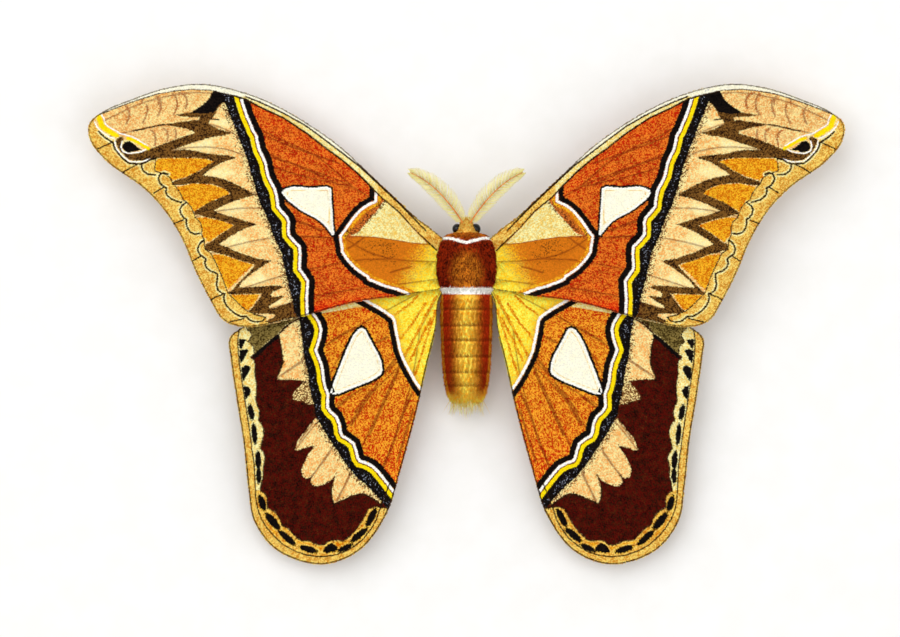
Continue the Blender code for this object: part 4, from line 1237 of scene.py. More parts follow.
    PINK_PATCH = ((29, -10.3), (30.4, -10.6), (30.7, -11.1), (31.3, -11.6), (31.8, -12.2), (32.1, -12.9),
                  (32.1, -13.5), (31.2, -13.8), (30.3, -14), (29.6, -14.4), (28, -14.5))
    FIELD_LINES = (
        ((30.3, -6.5), (32.5, -8), (34.5, -9.2)), ((25.3, -23.5), (28.5, -27.6)),
        ((21.4, -27.5), (24.2, -32.5)), ((28.4, -17.9), (29.8, -19.7), (31, -21.4)),
    )
    FIELD_EDGES = (
        ((16, -33), (17, -32.3), (18.5, -31.4), (20, -31.25), (22.5, -32.2), (24.5, -33.1), (25.1, -31.6),
         (25.1, -29.5)),
        ((34.8, -2.2), (34.3, -4.3), (34.1, -6.6), (35.1, -9.4)), ((32.6, 0.6), (33.6, -0.3), (34.7, -1.4)),
    )
    OLIVE_PATCH = (
        (31.1, 2.6), (31.2, 1.4), (32.5, 0.8), (33.5, 0.1), (34.2, -0.6), (34.8, -1.4), (35.8, -2.1),
        (36.8, -3), (37.7, -3.8), (38.5, -4.6), (39.2, -5.2), (39.4, -4.4), (39.5, -3.8), (39.9, -3.3),
        (40.4, -2.9), (40.1, -2.3), (39.7, -1.8), (40, -1.2), (40.6, -0.6), (40.8, 1),
    )
    OLIVE_EDGE = ((34.9, -1.9), (36, -2.7), (37.5, -4), (38.4, -4.9), (39.3, -5.7))
    CHAIN_INNER = (
        (40.9, 1.5), (40.7, -0.5), (40, -1.2), (39.7, -1.8), (40.1, -2.3), (40.4, -2.9), (39.9, -3.3),
        (39.5, -3.8), (39.4, -4.4), (39.3, -5.3), (39.9, -5.6), (40, -5.9), (39.4, -6.3), (39.2, -7),
        (39.2, -9), (38.9, -11), (38.9, -12.4), (39.1, -13.8), (38.8, -14.6), (38.4, -15.6), (38.4, -16.6),
        (38.6, -17.4), (38, -18.3), (37.6, -19.3), (37.6, -20.2), (37.9, -21.2), (38.2, -22.8),
        (37.7, -23.4), (37.3, -24.5), (37.7, -26.2), (37.7, -28), (38, -28.8), (38.3, -30.6), (37.4, -31.1),
        (37, -31.9), (37, -33.8), (36.4, -34.1), (35.5, -34.6), (34.9, -35.4), (34.2, -37), (33.3, -37.5),
        (32.7, -38.1), (31.3, -39.6), (30.4, -39.9), (29.2, -39.9), (28.3, -40.4), (27.2, -40.7),
        (26.3, -40.6), (25.6, -40), (24.8, -39.8), (23, -39.9), (22.2, -39.5), (20.8, -38.2), (19.4, -36.2),
        (18.5, -34.5), (18.2, -33.9), (16.8, -33.5), (15.1, -33.8), (13, -33.6),
    )
    CHAIN_OUTER = (
        (41.9, 0.5), (42.3, -1.8), (42.4, -3), (42.3, -5), (42.1, -7), (41.8, -9), (41.2, -13), (40.6, -17),
        (40, -21), (39.8, -23), (39.4, -25.5), (39.3, -28), (39.1, -32), (38.8, -34), (38.1, -35.8),
        (37.1, -37.5), (35.8, -39), (34.1, -40.6), (32, -41.8), (29.6, -42.6), (27.1, -42.9), (24.6, -42.6),
        (22.5, -41.9), (20.7, -40.8), (19, -39.4), (17.6, -37.5), (16.7, -35.9), (16.2, -34.3), (15.7, -33),
    )
    BARS = (
        ((40.9, -2.6), (42.1, -2.5), (42.1, -3.5), (41.9, -4.2), (41.5, -3.6)),
        ((40.5, -4.5), (41.3, -4.4), (42, -4.6), (42, -5.6), (41.8, -6.7), (41.3, -6), (40.8, -5.1)),
        ((40.2, -7.6), (40.9, -7.4), (41.6, -7.8), (41.6, -9), (41.4, -10.1), (40.8, -9.2), (40.3, -8.3)),
        ((40, -12), (40.6, -11.3), (41.2, -11.1), (41.1, -12.3), (40.9, -13.6), (40.2, -12.5)),
        ((25, -40.4), (25.6, -40.6), (26.2, -41.2), (26.6, -41.9), (25.8, -42.1), (24.8, -41.9),
         (23.9, -41.6), (24.2, -41)),
    )
    SPOTS = (
        ((39.95, -16), 0.48, 1.25, 12), ((39.35, -20), 0.4, 1.6, 5), ((38.65, -24.9), 0.44, 1.45, 3),
        ((38.55, -27.8), 0.4, 1.2, 0), ((37.95, -32.9), 0.52, 1.3, 18), ((36, -36.3), 0.62, 1.75, 40),
        ((33.3, -39.4), 0.52, 1.7, 48), ((29.3, -41.5), 0.5, 1.5, 75), ((22.5, -41.2), 0.4, 1.25, -65),
        ((19.9, -38.8), 0.52, 1.7, -50), ((17.65, -35.5), 0.52, 1.65, -28),
    )

    def paint(self, at: Array, within: Array) -> dict[Ink, Array]:
        """Works out how deep points lie in each ink.

        Args:
            at: The points, in mm.
            within: How far inside the wing's edge they lie.

        Returns:
            The depths for each ink that is used.
        """
        y = at[:, 1]
        inner, outer = beyond(self.INNER_LINE, at), beyond(self.OUTER_LINE, at)
        fuzz = beyond(self.OUTER_FUZZ, at)
        start, past = beyond(self.CHAIN_INNER, at), beyond(self.CHAIN_OUTER, at)
        chain, median = all_of(start, -past), all_of(inner, -outer)
        window, pink, olive = (depth(shape, at) for shape in (self.WINDOW, self.PINK_PATCH, self.OLIVE_PATCH))
        patches = shapes(self.PATCHES, at)
        field = all_of(outer - 0.6, -start, -patches, -pink, -olive)
        marks = any_of(shapes(self.BARS, at), *(spot(*each, at) for each in self.SPOTS)) + 0.12
        rings = any_of(band(marks, -0.24, 0), band(start, 0.1, 0.34), band(past, -0.4, -0.12))
        strip = all_of(depth(self.FRONT_STRIP, at), inner - 0.9)
        red = np.interp(y, (-26, -8, 1, 5), (0.12, -0.5, -0.3, 0.5))
        return {
            Ink.GOLD: -inner - 0.3,
            Ink.AMBER: median,
            Ink.SCARLET: all_of(median, red),
            Ink.FLESH: any_of(patches, outer - 0.5),
            Ink.BLUSH: pink,
            Ink.OCHRE: any_of(strokes(self.BASE_STREAKS, 0.45, at), all_of(chain, self.GOLDEN_END - y)),
            Ink.EDGE: any_of(past, window, rings),
            Ink.BUTTER: any_of(all_of(any_of(chain, rings), y - self.GOLDEN_END), strip),
            Ink.OLIVE: olive,
            Ink.VEIN: any_of(strokes(self.STREAKS, 0.45, at), strokes(self.FIELD_LINES, 0.3, at)),
            Ink.MAROON: field,
            Ink.SPECK: any_of(all_of(pink, 0) + 0.14, all_of(field, 0) - 0.3, 0.1 - 0.8 * abs(fuzz - 0.1)),
            Ink.CREAM: all_of(window, abs(window - 0.8) - 0.1),
            Ink.BLACK: any_of(band(inner, *self.INNER_BLACK), band(outer, *self.OUTER_BLACK),
                              all_of(outer - 0.6, -fuzz), marks, band(window, *self.WINDOW_BLACK),
                              stroke(self.OLIVE_EDGE, 0.75, at)),
            Ink.YELLOW: band(outer, *self.OUTER_YELLOW),
            Ink.WHITE: any_of(band(inner, *self.INNER_WHITE), band(outer, *self.OUTER_WHITE),
                              band(window, *self.WINDOW_WHITE)),
            Ink.LINE: any_of(0.1 - abs(within - 0.05), 0.09 - abs(outer + 0.11), 0.1 - abs(start),
                             strokes(self.FIELD_EDGES, 0.24, at), 0.12 - abs(past)),
            Ink.FROST: all_of(outer - 0.9, -0.1 - fuzz) * 0.4 - 0.95,
        }


@dataclass
class Tufts:
    """Many thin, curved, closed tufts as arrays, one row each.

    Args:
        roots: Where they start, in mm.
        start: The way each one leaves the skin.
        end: The way each one points at its tip.
        length: Their lengths, in mm.
        width: Their widths at the root, in mm.
        places: Their roots' places on the bake's map.
        side: 1 for the right-hand ones and -1 for their mirror image.
    """

    roots: Array
    start: Array
    end: Array
    length: Array
    width: Array
    places: Array
    side: int = 1

    def mesh(self, name: str, marks: Marks, rng: Rng, rings: int = 2) -> Mesh:
        """Joins the tufts into one mesh.

        Args:
            name: The mesh's name.
            marks: One value for each tuft under each mark's name.
            rng: The source of their tints.
            rings: How many rings of three points each one has below its tip.

        Returns:
            The mesh, in metres.
        """
        count, flip = len(self.roots), (self.side, 1, 1)
        roots, start, end = self.roots * flip, unit(self.start * flip), unit(self.end * flip)
        side = unit(np.cross(start, rng.normal(0, 1, (count, 3))))
        up = np.cross(side, start)
        shares = np.arange(rings + 1) / rings
        layers = []
        for share in shares:
            centre = roots + self.length[:, None] * (share * start + 0.5 * share ** 2 * (end - start))
            half = 0.5 * self.width[:, None] * (1 - share) ** 0.55
            spokes = (side, -side, up) if share < 1 else (side,)
            layers.append(np.stack([centre + half * spoke for spoke in spokes], axis=1))
        verts = np.concatenate(layers, axis=1)
        each = verts.shape[1]
        faces = [(0, 1, 2)]
        for ring in range(rings - 1):
            for k in range(3):
                a, b = 3 * ring + k, 3 * ring + (k + 1) % 3
                faces += [(a, a + 3, b), (b, a + 3, b + 3)]
        last = 3 * (rings - 1)
        faces += [(last + k, each - 1, last + (k + 1) % 3) for k in range(3)]
        faces = (np.array(faces)[None] + each * np.arange(count)[:, None, None]).reshape(-1, 3)
        spread = {key: np.repeat(values, each) for key, values in marks.items()}
        spread[TINT] = np.repeat(rng.uniform(0, 1, count), each)
        along = np.concatenate([np.repeat(shares[:-1], 3), shares[-1:]])
        spread[TIP] = np.tile(along, count)
        turn = np.arange(each) * 2.4
        patch = np.stack([np.cos(turn), np.sin(turn)], axis=-1) * UV_PATCH / 2
        uv = (self.places[:, None] + patch[None]).reshape(-1, 2)
        return joined_mesh(name, verts.reshape(-1, 3), faces, spread, uv)


@dataclass
class Body:
    """The head, thorax and abdomen: one skin with fur in bands.

    Args:
        profile: Rows of a place along Y, half a width, half a height and a middle height, in mm.
        squareness: How square the rings across the abdomen and the thorax are, with 2 for an oval.
        segments: The places along Y where the abdomen's segments meet, in mm.
        fur_length: The tufts' length at places along Y, in mm.
        fur_width: Their width there, in mm.
        fur_lift: How steeply they leave the skin there.
        long_tufts: The place along Y past which some tufts are longer, their share and how many times longer.
        eye_space: How far from the eye's middle the fur starts, in mm.
        lock: The width of a lock, in mm, whose tufts lean together.
    """

    profile: Sequence[tuple[float, float, float, float]] = (
        (-14.6, 0.3, 0.2, 4.7), (-14.5, 1.1, 0.7, 4.7), (-14.25, 1.9, 1.3, 4.72), (-13.7, 2.7, 2, 4.77),
        (-12.3, 3.5, 2.7, 4.85), (-9, 4.15, 3.3, 5.2), (-5.6, 4.45, 3.5, 5.5), (0, 4.65, 3.6, 6),
        (4.5, 4.7, 3.6, 6.45), (6.4, 4.7, 3.5, 6.75), (7.4, 5.1, 3.8, 6.95), (8.6, 5.4, 3.95, 7.1),
        (12.5, 5.45, 3.95, 7.2), (14.4, 5.35, 3.85, 7.2), (15.5, 5.05, 3.6, 7.2), (16.2, 4.45, 3.2, 7.2),
        (16.8, 3.4, 2.8, 7.25), (17.3, 2, 2.15, 7.3), (18.2, 1.3, 1.9, 7.3), (19.2, 1.05, 1.5, 7.2),
        (19.7, 0.7, 1, 7.15), (19.9, 0.2, 0.3, 7.1),
    )
    squareness: Pair = (2.3, 3.0)
    segments: Sequence[float] = (3.1, 0.1, -2.65, -5.65, -8.6, -11.1)
    fur_length: Points = ((-14, 0.75), (-12.8, 0.9), (-11, 0.95), (5.6, 0.95), (6.2, 0.7), (7.6, 0.75),
                          (9, 1.2), (12, 1.45), (14.5, 1.2), (15.4, 0.75), (16.8, 0.8), (18, 0.7), (20, 0.6))
    fur_width: Points = ((-14, 0.13), (-11, 0.11), (6, 0.11), (8, 0.15), (17, 0.15), (19, 0.12))
    fur_lift: Points = ((-14.4, 0.9), (-13.4, 0.3), (5, 0.35), (6, 0.1), (7, 0.1), (8, 0.45), (12, 0.6),
                        (15, 0.5), (16, 0.35), (18, 0.5))
    long_tufts: Triple = (-13.2, 0.05, 4)
    eye_space: float = 1.02
    lock: float = 0.75

    def __post_init__(self) -> None:
        """Smooths the profile."""
        rows = smooth_line(self.profile, 0.3)
        self.rows = rows[np.argsort(rows[:, 0])]
        self.low, self.high = self.rows[0, 0], self.rows[-1, 0]

    def surface(self, y: Array, turn: Array) -> Array:
        """Finds points on the skin.

        Args:
            y: Places along the body, in mm.
            turn: Angles round it from +X, in radians.

        Returns:
            The points, in mm.
        """
        half_width, half_height, middle = (np.interp(y, self.rows[:, 0], self.rows[:, i]) for i in (1, 2, 3))
        groove = sum(0.07 * np.exp(-((y - at) / 0.35) ** 2) for at in self.segments)
        c, s = np.cos(turn), np.sin(turn)
        power = 2 / np.interp(y, (5.5, 8, 15, 17), self.squareness + self.squareness[::-1])
        x = (half_width - groove) * np.sign(c) * abs(c) ** power
        z = (half_height - groove) * np.sign(s) * abs(s) ** power
        return np.stack([x, y, middle + z], axis=-1)

    def normals(self, y: Array, turn: Array) -> Array:
        """Finds the ways out of the skin."""
        ahead = self.surface(y + 0.05, turn) - self.surface(y - 0.05, turn)
        round_it = self.surface(y, turn + 0.02) - self.surface(y, turn - 0.02)
        return unit(np.cross(ahead, round_it))

    def place(self, y: Array, turn: Array) -> Array:
        """Lays the skin out on the bake's map, along and round."""
        return np.stack([0.02 + 0.96 * ((turn / (2 * math.pi) + 0.25) % 1),
                         0.02 + 0.96 * (y - self.low) / (self.high - self.low)], axis=-1)

    def inks(self, at: Array) -> Marks:
        """Works out how deep points of the skin lie in each ink, in mm."""
        x, y, z = abs(at[:, 0]), at[:, 1], at[:, 2]
        half_width = np.interp(y, self.rows[:, 0], self.rows[:, 1])
        upper = z - np.interp(y, self.rows[:, 0], self.rows[:, 3])
        abdomen = 5.8 - y
        collar = 0.29 - abs(y - 15.4 - 0.27 * np.minimum(x, 3.2))
        rings = np.max([0.17 - abs(y - place) for place in self.segments], axis=0)
        saddle = all_of(any_of(3.1 - np.hypot(x, (y - 9.7) * 0.75), band(y, 16.1, 18) - 0.1), upper)
        inks = {
            Ink.RUSSET: band(y, 7, 17.4),
            Ink.TAWNY: any_of(saddle, all_of(abdomen, 2.9 - x)),
            Ink.AMBER: all_of(abdomen, any_of((x - 0.94 * half_width) * 2, -upper - 1.2)),
            Ink.HONEY: any_of(all_of(abdomen, 1.6 - x), -12.8 - y),
            Ink.BUTTER: -14.5 - y,
            Ink.EDGE: y - 17.35,
            Ink.VEIN: rings,
            Ink.WHITE: any_of(collar - 0.12 * np.clip(-upper, 0, 2), band(y, 5.85, 7.05)),
        }
        marks = {ink.name: inks[ink] for ink in BODY_INKS}
        marks[BARE] = np.full(len(at), ABSENT)
        return marks

    def skin(self, material: Material, along: int = 150, around: int = 64) -> Object:
        """Makes the skin that the fur grows on, from a grid wrapped round the body.

        Args:
            material: Its finish.
            along: How many steps the grid has along the body.
            around: How many it has round it.

        Returns:
            The skin.
        """
        bm = bmesh.new()
        bmesh.ops.create_grid(bm, x_segments=around, y_segments=along, size=1)
        flat = np.array([v.co[:2] for v in bm.verts])
        turn, y = (flat[:, 0] + 1) * math.pi, self.low + (flat[:, 1] + 1) / 2 * (self.high - self.low)
        for vert, co in zip(bm.verts, self.surface(y, turn)):
            vert.co = co
        bmesh.ops.remove_doubles(bm, verts=bm.verts, dist=1e-4)
        bmesh.ops.holes_fill(bm, edges=[e for e in bm.edges if e.is_boundary])
        bmesh.ops.triangulate(bm, faces=[f for f in bm.faces if len(f.verts) > 4])
        bmesh.ops.recalc_face_normals(bm, faces=bm.faces)
        co = np.array([v.co for v in bm.verts])
        mesh = mesh_of(bm, "body_skin")
        marks = self.inks(co)
        marks[TINT], marks[TIP] = np.full(len(co), 0.4), np.full(len(co), 0.5)
        middle = np.interp(co[:, 1], self.rows[:, 0], self.rows[:, 3])
        add_marks(mesh, marks, self.place(co[:, 1], np.arctan2(co[:, 2] - middle, co[:, 0])))
        return wear(new_object("body_skin", mesh, material), "thorax", "head", "thorax", "abdomen")

    def fur(self, material: Material, seed: int) -> None:
        """Grows the fur, as one piece each for the abdomen, the thorax and the head.

        Args:
            material: Its finish.
            seed: The seed of the tufts' differences.
        """
        rng = np.random.default_rng(seed)
        self.grow("fur_abdomen", "abdomen", (self.low, 7.2), 46000, 1, material, rng)
        self.grow("fur_thorax", "thorax", (7.2, 17.2), 17300, 2, material, rng)
        self.grow("fur_head", "head", (16.9, self.high), 5600, 2, material, rng)

    def grow(self, name: str, slot: str, part: Pair, count: int, rings: int,
             material: Material, rng: Rng) -> Object:
        """Grows fur on a part of the skin, in locks whose tips lean together.

        Args:
            name: The piece's name.
            slot: The record's slot, which is not used.
            part: The part's ends along Y, in mm.
            count: How many tufts to set.
            rings: How many rings each tuft has below its tip.
            material: Their finish.
            rng: The source of their differences.

        Returns:
            The fur, as one mesh.
        """
        along = np.linspace(*part, 400)
        girth = np.interp(along, self.rows[:, 0], self.rows[:, 1] + self.rows[:, 2])
        share = girth * np.hypot(1, np.gradient(girth / 2, along))
        y = rng.choice(along, count, p=share / share.sum()) + rng.uniform(-0.02, 0.02, count)
        y = np.clip(y, self.low, self.high)
        turn = rng.uniform(0, 2 * np.pi, count)
        roots = self.surface(y, turn)
        from_eye = abs(roots * (1, 0, 0)) + roots * (0, 1, 1) - np.array(EYE)
        clear = np.linalg.norm(from_eye, axis=1) > self.eye_space
        y, turn, roots = y[clear], turn[clear], roots[clear]
        out, count = self.normals(y, turn), len(y)
        length = between(self.fur_length, y) * rng.uniform(0.75, 1.15, count)
        past, few, times = self.long_tufts
        length *= np.where((y < past) & (rng.uniform(size=count) < few), times, 1)
        ahead = np.clip((y - 17.1) / 0.6, 0, 1)[:, None]
        row = np.floor(y / self.lock)
        shift = np.sin(row * 12.9) * 9
        spacing = self.lock / 4.3
        column = np.floor(turn / spacing + shift)
        centre = self.surface((row + 0.5) * self.lock, (column + 0.5 - shift) * spacing)
        lean = (centre - roots) / self.lock
        lie = np.array((0.0, -1.0, -0.1)) * (1 - ahead) + np.array((0.0, 0.8, -0.6)) * ahead
        lie = unit(lie + rng.normal(0, 0.14, (count, 3)))
        lift = between(self.fur_lift, y)[:, None]
        lie = unit(lie - np.minimum((lie * out).sum(axis=1, keepdims=True) - 0.02, 0) * out)
        start, end = unit(lie + lift * 1.3 * out), unit(lie + 0.15 * lift * out + 0.7 * lean)
        marks = self.inks(roots + 0.7 * length[:, None] * unit(start + end) * (1, 1, 0))
        width = between(self.fur_width, y) * rng.uniform(0.8, 1.2, count)
        tufts = Tufts(roots - 0.1 * out, start, end, length, width, self.place(y, turn))
        return wear(new_object(name, tufts.mesh(name, marks, rng, rings), material), slot)


def flesh(name: str, slot: str, path: Array, radii: Array, side: int, material: Material,
          sides: int = 20) -> Object:
    """Makes a closed tube along a path, with a map round and along it.

    Args:
        name: The piece's name.
        slot: The record's slot, which is not used.
        path: The middle line, in mm.
        radii: The radius at each of its points, in mm.
        side: 1 for the right-hand one and -1 for its mirror image.
        material: Its finish.
        sides: How many sides it has.

    Returns:
        The piece.
    """
    bm = bmesh.new()
    run = unit(np.gradient(path, axis=0))
    spoke = unit(np.cross(run, (0, 0, 1)))
    up = np.cross(spoke, run)
    bmesh.ops.create_circle(bm, segments=sides, radius=1.0, cap_ends=True)
    ring, edges = bm.verts[:], bm.edges[:]
    spokes = {vert: tuple(vert.co[:2]) for vert in ring}
    places = []
    for i, (middle, radius) in enumerate(zip(path, radii)):
        if i:
            made = bmesh.ops.extrude_edge_only(bm, edges=edges)["geom"]
            ring = [e for e in made if isinstance(e, bmesh.types.BMVert)]
            edges = [e for e in made if isinstance(e, bmesh.types.BMEdge)]
            away = [np.array(v.co) - path[i - 1] for v in ring]
            spokes = {v: (a @ spoke[i - 1] / radii[i - 1], a @ up[i - 1] / radii[i - 1])
                      for v, a in zip(ring, away)}
        for vert, (a, b) in spokes.items():
            vert.co = middle + radius * (a * spoke[i] + b * up[i])
            places.append((0.03 + 0.94 * (math.atan2(b, a) / math.tau + 0.5), 0.03 + 0.94 * i / len(path)))
    bmesh.ops.holes_fill(bm, edges=[e for e in bm.edges if e.is_boundary])
    bmesh.ops.recalc_face_normals(bm, faces=bm.faces)
    mesh = mesh_of(bm, name, side)
    add_marks(mesh, {TINT: np.full(len(places), 0.4), TIP: np.full(len(places), 0.5)}, np.array(places))
    return wear(new_object(name, mesh, material), slot)


def coat_tube(name: str, slot: str, path: Array, radii: Array, length: Array, width: Array,
              count: int, side: int, material: Material, rng: Rng) -> Object:
    """Grows short fur all over a tube, lying towards its far end.

    Args:
        name: The piece's name.
        slot: The record's slot, which is not used.
        path: The tube's middle line, in mm.
        radii: The tube's radius at each of its points, in mm.
        length: The tufts' length there, in mm.
        width: Their width there, in mm.
        count: How many tufts to set.
        side: 1 for the right-hand one and -1 for its mirror image.
        material: Their finish.
        rng: The source of their differences.

    Returns:
        The fur, as one mesh.
    """
    pick = rng.integers(1, len(path) - 2, count)
    run = unit(np.gradient(path, axis=0))[pick]
    spoke = unit(np.cross(run, (0, 0, 1)))
    turn = rng.uniform(0, math.tau, count)[:, None]
    out = np.cos(turn) * spoke + np.sin(turn) * np.cross(spoke, run)
    roots = path[pick] + 0.8 * radii[pick][:, None] * out
    places = np.column_stack([0.03 + 0.94 * turn[:, 0] / math.tau, 0.03 + 0.94 * pick / len(path)])
    tufts = Tufts(roots, run + 0.55 * out, run + 0.12 * out, length[pick] * rng.uniform(0.7, 1.1, count),
                  width[pick], places, side)
    return wear(new_object(name, tufts.mesh(name, {}, rng, 1), material), slot)


@dataclass
class Antennae:
    """The two feathered antennae, each a ringed shaft with two pairs of barbs on every segment.

    Args:
        path: The right shaft's middle line, in mm.
        radii: Its radius at the root and at the tip, in mm.
        segments: How many segments it has.
        lengths: The barbs' greatest length on its outer and inner sides, in mm.
    """

    path: Path = ((0.6, 18.8, 8), (0.95, 19.5, 8.6), (2.4, 21.6, 9.2), (4.4, 24, 9.6), (6.5, 26, 9.8),
                  (8.5, 27.4, 9.9), (10.4, 28.4, 9.8))
    radii: Pair = (0.14, 0.07)
    segments: int = 46
    lengths: Pair = (2.5, 3.1)

    def build(self, side: int, shaft: Material, barb: Material, seed: int) -> None:
        """Makes one antenna's shaft and barbs.

        Args:
            side: 1 for the right antenna and -1 for the left one.
            shaft: The shaft's finish.
            barb: The barbs' finish.
            seed: The seed of the barbs' differences.
        """
        path = smooth_line(self.path, 0.07)
        share = np.linspace(0, 1, len(path))
        beat = np.cos(share * self.segments * math.tau)
        radii = np.interp(share, (0, 0.03, 0.07, 1), (0.34, 0.34, *self.radii)) * (1 + 0.1 * beat)
        radii[0] *= 0.5
        radii[-1] *= 0.3
        piece = flesh(f"antenna_shaft_{hand_of(side)}", "antenna", path, radii, side, shaft, 12)
        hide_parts(f"antenna_{hand_of(side)}")
        rng = np.random.default_rng(seed)
        run = unit(np.gradient(path, axis=0))
        out = unit(np.cross(run, (0, 0, 1)))
        up = np.cross(out, run)
        at = np.repeat(np.arange(5, self.segments * 2) / (self.segments * 2), 2)
        hands = np.tile([1.0, -1.0], len(at) // 2)
        i = np.round(at * (len(path) - 1)).astype(int)
        rise = np.where(np.arange(len(at)) // 2 % 2, 0.26, -0.16)[:, None]
        ways = []
        for more in (0.0, 0.55):
            turn = np.radians(np.interp(at, (0, 1), (16, 44)))[:, None] + more
            way = hands[:, None] * out[i] * np.cos(turn) + run[i] * np.sin(turn) + rise * up[i]
            ways.append(unit(way + rng.normal(0, 0.03, way.shape)))
        start, end = ways
        length = np.where(hands > 0, *self.lengths) * rng.uniform(0.94, 1.04, len(at))
        length *= np.interp(at, (0, 0.1, 0.3, 0.6, 0.85, 1), (0.3, 0.62, 0.95, 1.0, 0.7, 0.25))
        places = np.column_stack([0.5 + 0.2 * hands, 0.03 + 0.94 * at])
        barbs = Tufts(path[i], start, end, length, np.full(len(at), 0.14), places, side)
        name = f"antenna_barbs_{hand_of(side)}"
        wear(new_object(name, barbs.mesh(name, {}, rng, rings=4), barb), "antenna")
        self.down(barbs, barb, rng)

    @staticmethod
    def down(barbs: Tufts, material: Material, rng: Rng, each: int = 12) -> None:
        """Sets fine hairs along both sides of every barb.

        Args:
            barbs: The barbs of one antenna.
            material: The hairs' finish.
            rng: The source of their differences.
            each: How many hairs each side of a barb has.
        """
        share = np.linspace(0.12, 0.97, each)[None, :, None]
        start, bend = barbs.start[:, None], (barbs.end - barbs.start)[:, None]
        long = barbs.length[:, None, None]
        middle = barbs.roots[:, None] + long * (share * start + 0.5 * share ** 2 * bend)
        run = unit(start + share * bend)
        wide = unit(np.cross(run, (0, 0, 1)))
        ways = np.vstack([(run * 0.8 + sign * wide + rng.normal(0, 0.12, run.shape)).reshape(-1, 3)
                          for sign in (1, -1)])
        base = np.tile(middle.reshape(-1, 3), (2, 1))
        hairs = Tufts(base, ways, ways, rng.uniform(0.16, 0.26, len(base)), np.full(len(base), 0.05),
                      np.tile(np.repeat(barbs.places, each, axis=0), (2, 1)), barbs.side)
        name = f"antenna_down_{hand_of(barbs.side)}"
        wear(new_object(name, hairs.mesh(name, {}, rng, rings=1), material), "antenna")


@dataclass
class Palps:
    """The two short furry feelers below the head's front.

    Args:
        path: The right one's middle line, in mm.
        radius: Its greatest radius, in mm.
        tufts: How many tufts grow on it.
    """

    path: Path = ((0.45, 18.8, 6.3), (0.6, 19.5, 5.6), (0.7, 19.95, 5.2))
    radius: float = 0.32
    tufts: int = 420

    def build(self, side: int, shell: Material, fur: Material, seed: int) -> None:
        """Makes one palp with its fur.

        Args:
            side: 1 for the right and -1 for the left one.
            shell: The skin's finish.
            fur: The fur's finish.
            seed: The seed of the tufts' differences.
        """
        line = smooth_line(self.path, 0.08)
        radii = self.radius * np.interp(np.linspace(0, 1, len(line)), (0, 0.8, 1), (1.0, 0.7, 0.3))
        flesh(f"palp_{hand_of(side)}", "head", line, radii, side, shell, 12)
        length, width = np.full(len(line), 0.42), np.full(len(line), 0.09)
        coat_tube(f"palp_fur_{hand_of(side)}", "head", line, radii, length, width, self.tufts, side, fur,
                  np.random.default_rng(seed))


@dataclass
class Eyes:
    """The two round compound eyes.

    Args:
        centre: The middle of the right eye, in mm.
        radius: Its radius, in mm.
        shape: How many times that it is along each axis.
    """

    centre: Triple = EYE
    radius: float = 0.98
    shape: Triple = (0.92, 1, 1.08)

    def build(self, side: int, material: Material) -> None:
        """Makes one eye.

        Args:
            side: 1 for the right eye and -1 for the left one.
            material: Its finish.
        """
        bm = bmesh.new()
        bmesh.ops.create_icosphere(bm, subdivisions=5, radius=self.radius)
        bmesh.ops.scale(bm, vec=self.shape, verts=bm.verts)
        bmesh.ops.translate(bm, vec=self.centre, verts=bm.verts)
        piece = new_object(f"eye_ball_{hand_of(side)}", mesh_of(bm, "eye", side), material)
        wear(piece, "eye", f"eye_{hand_of(side)}")


